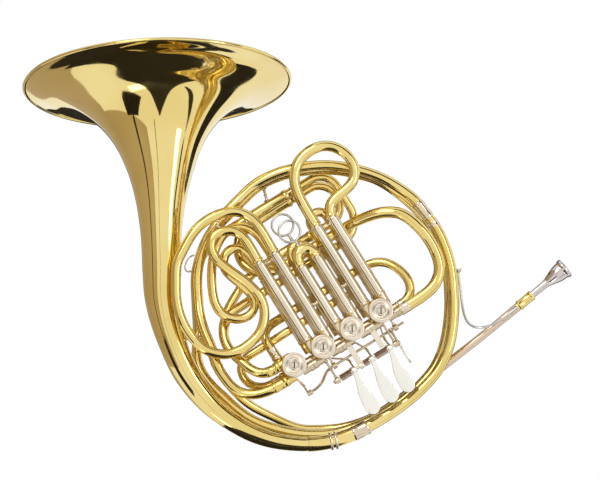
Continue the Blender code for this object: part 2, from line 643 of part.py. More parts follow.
def make_valve_feeds():
    port = -(KNUCKLE_END + TOUCH / 2)
    left = TUNING_SLEEVE_LEFT
    right = VALVE_AT[1] + KNUCKLE_END + TOUCH / 2
    main = MAIN_SLIDE_DEPTH
    inner = INNER_SLIDE_DEPTH
    deep = CROSSING_DEPTH
    tube("main_feed_tube", smooth([
        *run_in((left, MAIN_SLIDE_LOWER, main), -ALONG_ROW), (20, MAIN_SLIDE_LOWER, main),
        (-10, MAIN_SLIDE_LOWER, main), (-30, 85, -19.5), (-44, 75, -13), (-51, 57, -4), (-48, 37, 5),
        (-43.5, 22, 11), (-36.5, 11.5, 15), *run_out((port, 7, F_STOREY), ALONG_ROW)], 14),
        BRASS, 5.5)
    tube("f_feed_tube", smooth([
        *run_in((left, INNER_SLIDE_LOWER, inner), -ALONG_ROW), (30, INNER_SLIDE_LOWER, inner),
        (12, 109, -33), (-8, 101, -33), (-28, 90, -32.5), (-44, 75, -27), (-51, 57, -17.5),
        (-48, 37, -8), (-43.5, 22, -3.5), (-36.5, 11.5, -1.5),
        *run_out((port, 7, B_STOREY), ALONG_ROW)], 14), BRASS, 5.2)
    tube("big_loop_tube", smooth([
        *run_in((left, INNER_SLIDE_UPPER, inner), -ALONG_ROW, 5.5), (27, 153, -30, 5.5),
        (18, 141, -25.5, 5.5), (15, 129, -20, 5.5), (18, 117, -15.7, 5.5),
        (28, BIG_LOOP_ROW + 6.5, -14.2, 5.5), (40, BIG_LOOP_ROW + 1, -14.2, 5.5),
        (52, BIG_LOOP_ROW, -14.2, 5.5), (120, BIG_LOOP_ROW, -14.2, 5.5),
        (135, BIG_LOOP_ROW, -9.5, 5.5), (148, BIG_LOOP_ROW - 0.5, -4.5, 5.6),
        (162, 97.5, 1, 6.1), (179, 92.5, 8, 6.3), (195, 81, 13, 6.3), (203, 62, 16, 6.3),
        (206.5, 40, 16, 6.3), (204.5, 17, 16, 6.3), (198, 2, 16, 6.3), (183, -9, 16, 6.3),
        (163, -12, 16, 6.3), (151, F_KNUCKLE_ROW, 16, 6.3),
        *run_out((right, F_KNUCKLE_ROW, F_STOREY), -ALONG_ROW, 6.3)], 15), BRASS)
    tube("crossing_tube_long", smooth([
        *run_in((V4_TOP_PORT, V4_TOP_PORT_END, B_STOREY), ALONG_SLIDES, None, 9),
        (V4_TOP_PORT, 40, -4), (-5, 48, -10), (5, 51, -15), (16, 51, deep), (110, 51, deep),
        (124, 51, deep), (137, 50, -16), (151, 44, -12), (160, 31, -7), (164, 13, -3),
        (159, -1, -1.5), (150, -6.5, -1),
        *run_out((right, B_KNUCKLE_ROW, B_STOREY), -ALONG_ROW)], 14), BRASS, 5.3)
    end_row = leg_row(1, "b")[0]
    tube("crossing_tube_short", smooth([
        *run_in((port, -7, B_STOREY), -ALONG_ROW), (-36, -6, -2.5), (-46, -1, -8), (-53, 11, -17),
        (-51.5, 25, -20.5), (-43, 33, -19.5), (-30, 34, deep), (0, 34, deep), (85, 34, deep),
        (94, 33.5, -17), (100, 30.5, -16.2),
        *run_out((end_row, 27, B_STOREY - SLEEVE_RADIUS - TOUCH / 2), UPWARD, None, 5)], 14),
        BRASS, 5.0)


def sheet(piece):
    """Gives an open surface the thickness of the bell's sheet, inwards."""
    step = piece.modifiers.new("sheet", "SOLIDIFY")
    step.thickness = BELL_SHEET * MM
    step.offset = -1


def make_bell():
    """The bell is one sheet swept along its own bent axis; it leans away from
    the valve side by 19 degrees at its mouth."""
    widening = RIM_RADIUS - RIM_FOLD - TAIL_WIDTH
    flare = [(*place, TAIL_WIDTH + share * widening) for place, share in (
        ((-36, 222.5, -17.4), 0.025), ((-25, 240, -21.3), 0.051), ((-8, 267, -29), 0.118),
        ((8, 294, -38), 0.218), ((21, 316, -46), 0.357), ((30.5, 332, -52), 0.518),
        ((36.5, 342, -55.5), 0.688), ((40.5, 348.8, -58), 0.873), ((42.6, 352.3, -59.2), 1.0))]
    rings = smooth([*run_in(*BELL_JOINT, TAIL_WIDTH, 12), *flare], 22)
    mesh = tube_mesh("bell", rings, None, BELL_SIDES, False)
    bell = show("bell", mesh, BRASS)
    sheet(bell)
    mouth = rings[-1]
    way = (rings[-1].to_3d() - rings[-2].to_3d()).normalized()
    middle = mouth.to_3d() + way * (RIM_WIRE * math.cos(math.pi / 6) + TOUCH)
    turn = way.to_track_quat("Z", "Y")
    bpy.ops.mesh.primitive_torus_add(
        major_segments=BELL_SIDES, minor_segments=6, major_radius=(RIM_RADIUS - 2) * MM,
        minor_radius=RIM_WIRE * MM, location=middle * MM, rotation=turn.to_euler())
    rim = bpy.context.active_object
    rim.name = "bell_rim_wire"
    rim.data.materials.append(finish("bell_rim_wire", BRASS))
    for holder in list(rim.users_collection):
        holder.objects.unlink(rim)
    PARTS.objects.link(rim)


def make_mouthpiece():
    start = Vector(MOUTH_AXIS_START)
    way = Vector((math.cos(MOUTH_AXIS_RISE), math.sin(MOUTH_AXIS_RISE), 0))
    floor = RECEIVER_LENGTH - SHANK_INSERTED - 3
    profile = [(0, floor), (RECEIVER_BORE, floor), (RECEIVER_BORE, RECEIVER_LENGTH),
               (RECEIVER_RADIUS, RECEIVER_LENGTH), (RECEIVER_RADIUS, 0), (0, 0)]
    turned("mouthpiece_receiver", profile, start + way * TOUCH, way, NICKEL, 12)
    profile = [(0, 54), (4, 56), (7, 61), (8.6, 68), (9.2, 69.6), (10.8, 70), (12.2, 68.8),
               (12.4, 66), (10.8, 63.5), (10.4, 58), (8.5, 50), (6, 42), (5, 38), (4.5, 32),
               (4.1, 0), (0, 0)]
    piece = turned("mouthpiece", profile, start + way * (RECEIVER_LENGTH - SHANK_INSERTED + TOUCH),
                   way, SILVER, 16)
    put_origin(piece, start + way * RECEIVER_LENGTH)
    tube("s_brace", smooth([
        (218.3, -7.5, 2), (215, -14.5, 2), (209.5, -27, 1), (202.5, -42, -1), (198, -54, -4),
        (196.5, -64, -8), (199.5, -73, -12), (207, -79.5, -15.5), (220, -83.3, -17),
        (237, -83.7, -17.1), (255, -81.6, -17.1)], 9), SILVER, 1.5)


def spatula_outline(lever):
    """Narrow at the hub, swelling to a round-ended touch-piece."""
    hub = LEVER_AT[lever]
    tip = SPATULA_TIP_AT[lever]
    half = SPATULA_WIDTH / 2
    neck = SPATULA_NECK / 2
    shoulder = SPATULA_START - 24
    round_at = SPATULA_END + half
    outline = [(hub - neck, SPATULA_START), (hub + neck, SPATULA_START)]
    outline += [(tip + half - 1.5, shoulder), (tip + half, shoulder - 6)]
    for step in range(7):
        angle = -math.pi * step / 6
        outline.append((tip + half * math.cos(angle), round_at + half * math.sin(angle)))
    outline += [(tip - half, shoulder - 6), (tip - half + 1.5, shoulder)]
    return outline


def make_finger_lever(lever):
    hub = LEVER_AT[lever]
    barrel = rod_mesh((hub - HUB_WIDTH / 2, HINGE_ROW, HINGE_HEIGHT),
                      (hub + HUB_WIDTH / 2, HINGE_ROW, HINGE_HEIGHT), HUB_RADIUS, 12)
    touch = plate_mesh(spatula_outline(lever), SPATULA_THICK, HINGE_HEIGHT + 0.35)
    low = HINGE_HEIGHT - DROP_ARM
    arm = box_mesh((hub - 2, HINGE_ROW - 1.9, low), (hub + 2, HINGE_ROW + 1.9, HINGE_HEIGHT - 2))
    foot = rod_mesh((hub - 1.9, HINGE_ROW, low), (hub + 1.9, HINGE_ROW, low), 3.0, 12)
    bore = rod_mesh((hub - 9, HINGE_ROW, HINGE_HEIGHT), (hub + 9, HINGE_ROW, HINGE_HEIGHT),
                    HUB_BORE, 12)
    piece = combined(f"finger_lever_{lever}", barrel, [touch, arm, foot], [bore], BRASS)
    put_origin(piece, (hub, HINGE_ROW, HINGE_HEIGHT))


def link_end(valve):
    side = STOP_PIVOT / math.sqrt(2)
    return VALVE_AT[valve] - side, -side


def make_link(name, valve, eye_low, eye_high, row, level):
    """An eye beside the arm's foot and a rod to below the stop arm's pivot."""
    eye = rod_mesh((eye_low, row, level), (eye_high, row, level), 3.0, 12)
    middle = (eye_low + eye_high) / 2
    end_at, end_row = link_end(valve)
    line = [Vector((middle, row, level)), Vector((middle, row + 5, (level + LINK_LEVEL) / 2 - 1)),
            Vector((middle, row + 11, LINK_LEVEL)), Vector((end_at, end_row - 6, LINK_LEVEL)),
            Vector((end_at, end_row, LINK_LEVEL))]
    rod = tube_mesh("rod", line, LINK_RADIUS, 8)
    ball = rod_mesh((end_at, end_row, LINK_LEVEL - LINK_RADIUS - 0.2),
                    (end_at, end_row, LINK_LEVEL + LINK_RADIUS), 2.4, 12)
    piece = combined(name, eye, [rod, ball], [], NICKEL)
    put_origin(piece, (middle, row, level))


def make_thumb_lever():
    """A long shaft in two posts, with the thumb's paddle near its right end and
    a bent crank at its left end."""
    z = THUMB_HEIGHT
    crank = smooth([
        (36, THUMB_ROW, z), (31, THUMB_ROW - 0.5, z - 1), (25, -30.5, -3), (18, -36, -11),
        (9, THUMB_CRANK_ROW, -16), (1.3, THUMB_CRANK_ROW, THUMB_CRANK_LEVEL)], 5)
    line = [Vector((133, THUMB_ROW, z))] + crank
    shaft = tube_mesh("shaft", line, THUMB_RADIUS, 8)
    at = 116.0
    arm = rod_mesh((at, THUMB_ROW, z), (at, -44, z - 4), 2.0, 8)
    paddle = box_mesh((at - 1.2, -70, z - 16), (at + 1.2, -42, z + 5))
    foot = rod_mesh((1.4, THUMB_CRANK_ROW, THUMB_CRANK_LEVEL),
                    (4.4, THUMB_CRANK_ROW, THUMB_CRANK_LEVEL), 3.0, 12)
    piece = combined("thumb_lever", shaft, [arm, paddle, foot], [], BRASS)
    put_origin(piece, (at, THUMB_ROW, z))


def make_levers():
    rod = rod_mesh((HINGE_LEFT, HINGE_ROW, HINGE_HEIGHT), (HINGE_RIGHT, HINGE_ROW, HINGE_HEIGHT),
                   HINGE_RADIUS, 12)
    heads = [rod_mesh((HINGE_LEFT - 1.7, HINGE_ROW, HINGE_HEIGHT),
                      (HINGE_LEFT + 1.2, HINGE_ROW, HINGE_HEIGHT), 3.2, 12),
             rod_mesh((HINGE_RIGHT - 1.6, HINGE_ROW, HINGE_HEIGHT),
                      (HINGE_RIGHT + 1.0, HINGE_ROW, HINGE_HEIGHT), 3.2, 12)]
    combined("lever_hinge_rod", rod, heads, [], NICKEL)
    level = HINGE_HEIGHT - DROP_ARM
    for lever, hub in LEVER_AT.items():
        make_finger_lever(lever)
        make_link(f"link_rod_{lever}", lever, hub + 2.3, hub + 4.9, HINGE_ROW, level)
    make_thumb_lever()
    make_link("link_rod_4", 4, -1.5, 1.1, THUMB_CRANK_ROW, THUMB_CRANK_LEVEL)


def least_gap(line):
    """The least clear width between two stretches of a wire that lie more than
    half a curl apart along it, measured between the points' own segments."""
    least = math.inf
    for first in range(len(line) - 1):
        for second in range(first + SPRING_POINTS // 2 + 1, len(line) - 1):
            least = min(least, segment_distance(line[first:first + 2], line[second:second + 2]))
    return least - 2 * SPRING_WIRE


def segment_distance(first, second):
    """The least distance found between two short straight stretches."""
    least = math.inf
    for step in range(5):
        place = first[0].lerp(first[1], step / 4)
        nearest, share = intersect_point_line(place, *second)
        nearest = second[0].lerp(second[1], min(1, max(0, share)))
        least = min(least, (place - nearest).length)
    return least


def make_spring(lever):
    """A coil round the hinge rod: one wire with a short straight tail at each
    end, laid square to the coil's axis."""
    start, end, curls = SPRINGS[lever]
    line = []
    count = curls * SPRING_POINTS
    for step in range(count + 1):
        turn = 2 * math.pi * step / SPRING_POINTS
        line.append(Vector((start + (end - start) * step / count,
                            HINGE_ROW + SPRING_MEAN * math.cos(turn),
                            HINGE_HEIGHT + SPRING_MEAN * math.sin(turn))))
    first = line[0] + Vector((0, 0, -3.0))
    last = line[-1] + Vector((0, 0, 3.0))
    line = [first] + line + [last]
    print(f"spring {lever}: least gap between its curls {least_gap(line):.2f} mm")
    return tube(f"lever_spring_{lever}", line, DARK_STEEL, SPRING_WIRE, 6)


def make_braces():
    for left_valve, right_valve in ((3, 2), (2, 1)):
        start = leg_row(left_valve, "f")[1] + SLEEVE_RADIUS + TOUCH
        end = leg_row(right_valve, "f")[0] - SLEEVE_RADIUS - TOUCH
        tube(f"sleeve_brace_{left_valve}_{right_valve}",
             [Vector((start, 45.5, F_STOREY)), Vector((end, 45.5, F_STOREY))], NICKEL,
             BRACE_RADIUS)


def solid_points():
    """Every corner of the pieces, as they are evaluated, in metres."""
    graph = bpy.context.evaluated_depsgraph_get()
    points = []
    for piece in PARTS.objects:
        if piece.type == "EMPTY":
            continue
        mesh = bpy.data.meshes.new_from_object(piece.evaluated_get(graph))
        points += [piece.matrix_world @ corner.co for corner in mesh.vertices]
        bpy.data.meshes.remove(mesh)
    return points


def resting_up(points):
    """Which way is up when the horn lies on the side of its hull that is
    nearest to its usual lean on bell rim and tubing."""
    hull = bmesh.new()
    for point in points:
        hull.verts.new(point)
    made = bmesh.ops.convex_hull(hull, input=hull.verts)
    inner = [item for item in made["geom_interior"] if isinstance(item, bmesh.types.BMVert)]
    bmesh.ops.delete(hull, geom=inner, context="VERTS")
    hull.normal_update()
    lean = Vector(USUAL_UP).normalized()
    sides = [face for face in hull.faces if face.calc_area() > LEAST_SUPPORT]
    up = -max(sides, key=lambda face: -face.normal.dot(lean)).normal
    hull.free()
    return up.normalized()


def lie_on_table():
    """Turns the whole horn into its resting pose, valve caps towards the front,
    and stands it on z = 0 with its middle over the origin."""
    bpy.context.view_layer.update()
    points = solid_points()
    up = resting_up(points)
    front = (UPWARD - up * UPWARD.dot(up)).normalized()
    back = -front
    right = back.cross(up)
    turn = Matrix((right, back, up))
    turned_points = [turn @ point for point in points]
    lows = [min(point[axis] for point in turned_points) for axis in range(3)]
    highs = [max(point[axis] for point in turned_points) for axis in range(3)]
    base = bpy.data.objects.new("horn", None)
    PARTS.objects.link(base)
    for piece in list(PARTS.objects):
        if piece is not base:
            piece.parent = base
    base.rotation_euler = turn.to_euler()
    base.location = (-(lows[0] + highs[0]) / 2, -(lows[1] + highs[1]) / 2, -lows[2])


clear_scene()
PARTS = bpy.data.collections.new("double_french_horn")
bpy.context.scene.collection.children.link(PARTS)
CUTTERS = bpy.data.collections.new("cutters")
bpy.context.scene.collection.children.link(CUTTERS)

for number in VALVE_AT:
    make_casing(number)
    make_rotor(number)
    make_cap(number)
make_valve_slides()
make_tuning_slides()
make_ring_tubing()
make_valve_feeds()
make_bell()
make_mouthpiece()
make_levers()
for number in SPRINGS:
    make_spring(number)
make_braces()
for shape in PARTS.objects:
    if shape.type == "MESH":
        shape.data.set_sharp_from_angle(angle=math.radians(35))
lie_on_table()
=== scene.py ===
"""Looks of a double french horn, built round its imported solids.

Shapes are laid out in the horn's own frame in millimetres, as its maker would
draw it: along the valve row, along the valve slides, and up towards the caps.
HORN takes them to the pose in which the horn lies.
"""

import json
import math

import bmesh
import bpy
from mathutils import Matrix, Vector


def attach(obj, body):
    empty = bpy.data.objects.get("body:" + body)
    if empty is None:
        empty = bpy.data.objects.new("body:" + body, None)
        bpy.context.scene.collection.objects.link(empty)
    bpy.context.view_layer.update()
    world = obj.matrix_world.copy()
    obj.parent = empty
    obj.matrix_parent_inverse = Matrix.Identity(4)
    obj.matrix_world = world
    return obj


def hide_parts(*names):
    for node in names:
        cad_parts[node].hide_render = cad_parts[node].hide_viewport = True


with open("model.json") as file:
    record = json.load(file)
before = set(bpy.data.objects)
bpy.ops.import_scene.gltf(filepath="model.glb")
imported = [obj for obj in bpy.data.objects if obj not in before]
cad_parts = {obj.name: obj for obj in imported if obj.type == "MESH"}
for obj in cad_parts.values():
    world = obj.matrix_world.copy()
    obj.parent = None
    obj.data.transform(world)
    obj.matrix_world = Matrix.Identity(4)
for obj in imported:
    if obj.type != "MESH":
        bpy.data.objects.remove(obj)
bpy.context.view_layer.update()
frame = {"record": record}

JOINTS = {joint["name"]: joint for joint in frame["record"]["behaviour"]["joints"]}
ALONG = Vector(JOINTS["thumb_lever_hinge"]["axis"]).normalized()
CAPWARD = Vector(JOINTS["valve_4_turn"]["axis"]).normalized()
SLIDEWARD = CAPWARD.cross(ALONG)
HORN = (Matrix.Translation(JOINTS["valve_4_turn"]["pos_m"])
        @ Matrix((ALONG, SLIDEWARD, CAPWARD)).transposed().to_4x4() @ Matrix.Scale(0.001, 4))

BODY = "horn_body"
VALVE_PITCH = 38.7
VALVE_AT = {4: 0.0, 3: VALVE_PITCH, 2: 2 * VALVE_PITCH, 1: 3 * VALVE_PITCH}
F_LEVEL = 16.0
B_LEVEL = -1.0
LEVELS = {"f": F_LEVEL, "b": B_LEVEL}
CASING_BACK = -11.0
CASING_FRONT = 26.0
LEG_SPACING = 20.8
LEG_SHIFT = {"f": 0.0, "b": -3.1}
SLEEVE_RADIUS = 6.2
SLEEVE_BORE = 5.5
LEG_RADIUS = 4.9
BOW_RADIUS = {"f": {1: 6.1, 2: 6.1, 3: 5.65}, "b": {1: 5.4, 2: 5.4, 3: 5.3}}
SLEEVE_END = {"f": {1: 119.0, 2: 90.0, 3: 119.0}, "b": {1: 95.0, 2: 76.0, 3: 100.0}}
LEG_DEPTH = {"f": {1: 60.0, 2: 45.0, 3: 60.0}, "b": {1: 45.0, 2: 35.0, 3: 45.0}}
MAIN_LEVEL = -22.3
MAIN_UPPER, MAIN_LOWER = 167.0, 86.5
INNER_LEVEL = -32.5
INNER_UPPER, INNER_LOWER = 159.0, 112.0
TUNING_LEFT, TUNING_RIGHT = 50.0, 100.0
CROSSING_LEVEL = -17.0
HINGE_ROW = -41.5
HINGE_LEVEL = 20.0
LEVER_AT = {1: 103.3, 2: 79.2, 3: 55.5}
TIP_AT = {1: 98.0, 2: 76.0, 3: 51.0}
STOP_TOP = -14.0
LEVER_DROP = 34.0
STOP_SIDE = LEVER_DROP * math.sin(math.radians(16)) / 2
LINK_LEVEL = -20.0
THUMB_ROW = -26.0
THUMB_LEVEL = 5.0
RIGHT = (1, 0, 0)
LEFT = (-1, 0, 0)
UP = (0, 0, 1)
DOWN = (0, 0, -1)


class Field:
    """A number that varies over a surface, so that shader maths reads as sums."""

    def __init__(self, finish, socket):
        self.finish = finish
        self.socket = socket

    def join(self, operation, other):
        node = self.finish.node("ShaderNodeMath", {"operation": operation}, {0: self, 1: other})
        return Field(self.finish, node.outputs[0])

    def __add__(self, other):
        return self.join("ADD", other)

    def __mul__(self, other):
        return self.join("MULTIPLY", other)


class Finish:
    """One material: a Principled shader and the nodes that feed it."""

    def __init__(self, name, colour, metallic, roughness, coat=0.0):
        self.material = bpy.data.materials.new(name)
        self.material.use_nodes = True
        self.tree = self.material.node_tree
        self.shader = self.tree.nodes["Principled BSDF"]
        self.set("Base Color", (*colour, 1))
        self.set("Metallic", metallic)
        self.set("Roughness", roughness)
        self.set("Coat Weight", coat)
        self.shader.inputs["Coat Roughness"].default_value = 0.04
        self.place = self.node("ShaderNodeTexCoord", {}, {}).outputs["Object"]

    def feed(self, socket, value):
        """Links an input to a field or a socket, or sets it to a plain value."""
        if isinstance(value, Field):
            value = value.socket
        if isinstance(value, bpy.types.NodeSocket):
            self.tree.links.new(value, socket)
        else:
            socket.default_value = value

    def node(self, kind, settings, values):
        node = self.tree.nodes.new(kind)
        for key, value in settings.items():
            setattr(node, key, value)
        for key, value in values.items():
            self.feed(node.inputs[key], value)
        return node

    def set(self, name, value):
        self.feed(self.shader.inputs[name], value)

    def noise(self, scale, detail, stretch=(1, 1, 1)):
        place = self.node("ShaderNodeMapping", {}, {"Vector": self.place, "Scale": stretch})
        node = self.node("ShaderNodeTexNoise", {},
                         {"Vector": place.outputs[0], "Scale": scale, "Detail": detail})
        return Field(self, node.outputs["Fac"])

    def band(self, field, low, high):
        """0 below `low`, 1 above `high`, smooth between."""
        node = self.node("ShaderNodeMapRange", {"interpolation_type": "SMOOTHSTEP"},
                         {"Value": field, "From Min": low, "From Max": high})
        return Field(self, node.outputs[0])

    def blend(self, share, first, second):
        """A mix of two colours; the first may be the outcome of another mix."""
        if not isinstance(first, bpy.types.NodeSocket):
            first = (*first, 1)
        node = self.node("ShaderNodeMix", {"data_type": "RGBA"}, {0: share, 6: first, 7: (*second, 1)})
        return node.outputs[2]

    def relief(self, height, distance):
        node = self.node("ShaderNodeBump", {}, {"Height": height, "Distance": distance})
        self.set("Normal", node.outputs["Normal"])


def polished(name, colour, second, deep, smooth_at=0.06, dull=0.06, coat=0.0, ripple=0.00003):
    """Polished metal: broad tone changes, faint handling haze and a little
    unevenness left by the buffing wheel."""
    finish = Finish(name, colour, 1.0, smooth_at, coat)
    tone = finish.band(finish.noise(9, 2), 0.40, 0.66)
    base = finish.blend(tone, colour, second)
    stain = finish.band(finish.noise(55, 5), 0.60, 0.74) * 0.22
    finish.set("Base Color", finish.blend(stain, base, deep))
    haze = finish.band(finish.noise(38, 4), 0.42, 0.72)
    finish.set("Roughness", haze * dull + smooth_at)
    finish.relief(finish.noise(70, 1), ripple)
    return finish.material


def brushed(name, colour, second, smooth_at, dull):
    """Nickel silver: paler, a little softer, with fine wiping marks."""
    finish = Finish(name, colour, 1.0, smooth_at)
    tone = finish.band(finish.noise(14, 3), 0.38, 0.68)
    finish.set("Base Color", finish.blend(tone, colour, second))
    wipe = finish.noise(600, 3, (1, 0.12, 1))
    haze = finish.band(finish.noise(60, 4), 0.4, 0.7)
    finish.set("Roughness", wipe * 0.04 + haze * dull + smooth_at)
    finish.relief(finish.noise(800, 2, (1, 0.1, 1)), 0.00001)
    return finish.material


BRASS = polished("lacquered_brass", (0.85, 0.67, 0.26), (0.79, 0.60, 0.19), (0.66, 0.45, 0.12),
                 coat=0.35)
BELL_BRASS = polished("bell_lacquered_brass", (0.85, 0.68, 0.27), (0.79, 0.61, 0.21),
                      (0.68, 0.49, 0.16), 0.05, 0.05, 0.35, 0.00002)
NICKEL = brushed("nickel_silver_polished", (0.84, 0.74, 0.57), (0.76, 0.65, 0.48), 0.05, 0.05)
CAP_NICKEL = brushed("nickel_silver_turned", (0.82, 0.73, 0.60), (0.76, 0.66, 0.54), 0.28, 0.10)
# A darker copy of the polished nickel silver: painted shade for the lever action, the casing knuckles,
# the clamp rods and the tail ferrule, which sit in shadow.
SHADED_NICKEL = brushed("nickel_silver_painted_shade", (0.70, 0.59, 0.44), (0.58, 0.47, 0.33), 0.07, 0.06)
ROSE_NICKEL = brushed("nickel_silver_leadpipe", (0.74, 0.58, 0.44), (0.66, 0.50, 0.36), 0.08, 0.06)
SILVER = polished("silver_plate_bright", (0.66, 0.60, 0.58), (0.58, 0.52, 0.50), (0.42, 0.37, 0.35),
                  0.08, 0.07)
WIRE_SILVER = polished("silver_plate_wire", (0.62, 0.61, 0.57), (0.52, 0.51, 0.48), (0.36, 0.35, 0.33),
                       0.12, 0.08)
TOUCH_SILVER = polished("silver_plate_touch", (0.90, 0.88, 0.80), (0.87, 0.84, 0.75),
                        (0.72, 0.69, 0.60), 0.14, 0.08)


def plain(name, colour, second, metallic, roughness, scale, depth):
    """A matt or tempered surface with one fine grain."""
    finish = Finish(name, colour, metallic, roughness)
    grain = finish.noise(scale, 4)
    finish.set("Base Color", finish.blend(grain, colour, second))
    finish.set("Roughness", grain * 0.15 + roughness)
    finish.relief(grain, depth)
    return finish.material


SPRING_STEEL = plain("tempered_spring_steel", (0.34, 0.20, 0.13), (0.44, 0.28, 0.19),
                     1.0, 0.24, 300, 0.00001)
# Near black: the stop corks' own colour, and also painted shade at the floor of screw slots and in the
# well round each cap screw.
CORK_AND_PAINTED_SHADE = plain("stop_cork_and_painted_shade", (0.05, 0.045, 0.04), (0.10, 0.08, 0.06), 0.0, 0.75, 700, 0.00008)


def added(name, data):
    """Puts a new object into the scene."""
    thing = bpy.data.objects.new(name, data)
    bpy.context.scene.collection.objects.link(thing)
    return thing


def sweep_tree():
    """A tube of round section along the edges it is given, as wide at each
    point as the `radius` stored there."""
    tree = bpy.data.node_groups.new("round_tube_on_line", "GeometryNodeTree")
    tree.interface.new_socket("Line", in_out="INPUT", socket_type="NodeSocketGeometry")
    inputs = {}
    for name, kind in (("Sides", "Int"), ("Closed Ends", "Bool"), ("Finish", "Material")):
        socket = tree.interface.new_socket(name, in_out="INPUT", socket_type=f"NodeSocket{kind}")
        inputs[name] = socket.identifier
    tree.interface.new_socket("Tube", in_out="OUTPUT", socket_type="NodeSocketGeometry")
    given = tree.nodes.new("NodeGroupInput")
    result = tree.nodes.new("NodeGroupOutput")
    width = tree.nodes.new("GeometryNodeInputNamedAttribute")
    width.data_type = "FLOAT"
    width.inputs["Name"].default_value = "radius"
    curve = tree.nodes.new("GeometryNodeMeshToCurve")
    ring = tree.nodes.new("GeometryNodeCurvePrimitiveCircle")
    ring.inputs["Radius"].default_value = 1.0
    body = tree.nodes.new("GeometryNodeCurveToMesh")
    real = tree.nodes.new("GeometryNodeRealizeInstances")
    paint = tree.nodes.new("GeometryNodeSetMaterial")
    for source, output, target, entry in (
            (given, "Line", curve, "Mesh"), (given, "Sides", ring, "Resolution"),
            (curve, "Curve", body, "Curve"), (ring, "Curve", body, "Profile Curve"),
            (width, "Attribute", body, "Scale"), (given, "Closed Ends", body, "Fill Caps"),
            (body, "Mesh", real, "Geometry"), (real, "Geometry", paint, "Geometry"),
            (given, "Finish", paint, "Material"), (paint, "Geometry", result, "Tube")):
        tree.links.new(source.outputs[output], target.inputs[entry])
    return tree, inputs


SWEEP, SWEEP_INPUTS = sweep_tree()


def swept(line, finish, sides=24, closed=True):
    """The mesh of a round tube through points of (x, y, z, radius)."""
    carrier_mesh = bpy.data.meshes.new("line")
    carrier_mesh.from_pydata([tuple(point)[:3] for point in line],
                             [(i, i + 1) for i in range(len(line) - 1)], [])
    width = carrier_mesh.attributes.new("radius", "FLOAT", "POINT")
    for index, point in enumerate(line):
        width.data[index].value = point[3]
    carrier = added("line", carrier_mesh)
    modifier = carrier.modifiers.new("tube", "NODES")
    modifier.node_group = SWEEP
    for name, value in (("Sides", sides), ("Closed Ends", closed), ("Finish", finish)):
        modifier[SWEEP_INPUTS[name]] = value
    graph = bpy.context.evaluated_depsgraph_get()
    mesh = bpy.data.meshes.new_from_object(carrier.evaluated_get(graph))
    bpy.data.objects.remove(carrier)
    bpy.data.meshes.remove(carrier_mesh)
    work = bmesh.new()
    work.from_mesh(mesh)
    bmesh.ops.remove_doubles(work, verts=work.verts, dist=0.001)
    bmesh.ops.recalc_face_normals(work, faces=work.faces)
    work.to_mesh(mesh)
    work.free()
    return mesh


def smooth(points, spacing=4.0):
    """A centripetal Catmull-Rom curve through points of (x, y, z, radius)."""
    known = [Vector(point) for point in points]
    known = [2 * known[0] - known[1]] + known + [2 * known[-1] - known[-2]]
    line = [known[1]]
    for index in range(1, len(known) - 2):
        p0, p1, p2, p3 = known[index - 1:index + 3]
        t1 = (p1 - p0).length ** 0.5
        t2 = t1 + (p2 - p1).length ** 0.5
        t3 = t2 + (p3 - p2).length ** 0.5
        count = max(1, round((p2 - p1).length / spacing))
        for step in range(1, count + 1):
            t = t1 + (t2 - t1) * step / count
            a1 = p0 * ((t1 - t) / t1) + p1 * (t / t1)
            a2 = p1 * ((t2 - t) / (t2 - t1)) + p2 * ((t - t1) / (t2 - t1))
            a3 = p2 * ((t3 - t) / (t3 - t2)) + p3 * ((t - t2) / (t3 - t2))
            b1 = a1 * ((t2 - t) / t2) + a2 * (t / t2)
            b2 = a2 * ((t3 - t) / (t3 - t1)) + a3 * ((t - t1) / (t3 - t1))
            line.append(b1 * ((t2 - t) / (t2 - t1)) + b2 * ((t - t1) / (t2 - t1)))
    return line


def relaxed(line, rounds):
    """Evens out the small kinks of a measured route; its ends stay."""
    for _ in range(rounds):
        line = [line[0], line[1]] + [
            line[i] * 0.5 + (line[i - 1] + line[i + 1]) * 0.25 for i in range(2, len(line) - 2)
        ] + [line[-2], line[-1]]
    return line


def even(line, spacing):
    """The same line with points at even steps, which a finer section needs."""
    lengths = [0.0]
    for first, second in zip(line, line[1:]):
        lengths.append(lengths[-1] + (second.to_3d() - first.to_3d()).length)
    count = max(2, round(lengths[-1] / spacing))
    result = []
    index = 0
    for step in range(count + 1):
        want = lengths[-1] * step / count
        while index < len(line) - 2 and lengths[index + 1] < want:
            index += 1
        span = lengths[index + 1] - lengths[index]
        result.append(line[index].lerp(line[index + 1], min(1, max(0, (want - lengths[index]) / span))))
    return result


def stretch(line, start, end, profile, spacing=0.6):
    """The stretch of a line between two distances along it, its radius widened
    by a profile of (share of the way, extra radius)."""
    fine = even(line, spacing)
    total = sum((b.to_3d() - a.to_3d()).length for a, b in zip(fine, fine[1:]))
    if start < 0:
        start += total
    if end <= 0:
        end += total
    first = round(start / total * (len(fine) - 1))
    last = max(first + 2, round(end / total * (len(fine) - 1)))
    part = fine[first:last + 1]
    result = []
    for share, extra in profile:
        place = share * (len(part) - 1)
        low = min(int(place), len(part) - 2)
        point = part[low].lerp(part[low + 1], place - low)
        result.append(Vector((*point[:3], point[3] + extra)))
    return result


FERRULE = [
    (0, 0.05), (0.04, 0.45), (0.10, 0.62), (0.18, 0.62), (0.24, 0.40), (0.5, 0.40), (0.76, 0.40),
    (0.82, 0.62), (0.90, 0.62), (0.96, 0.45), (1, 0.05)]
BEAD = [(0, 0.05), (0.12, 0.42), (0.3, 0.68), (0.5, 0.78), (0.7, 0.68), (0.88, 0.42), (1, 0.05)]


def widened(line, start, end, profile, finish=NICKEL, sides=32):
    """The mesh of a ferrule or bead over a stretch of a line."""
    return swept(stretch(line, start, end, profile), finish, sides)


def straight(start, end, radius, finish, sides=24):
    """The mesh of a straight round tube."""
    return swept([(*start, radius), (*end, radius)], finish, sides)


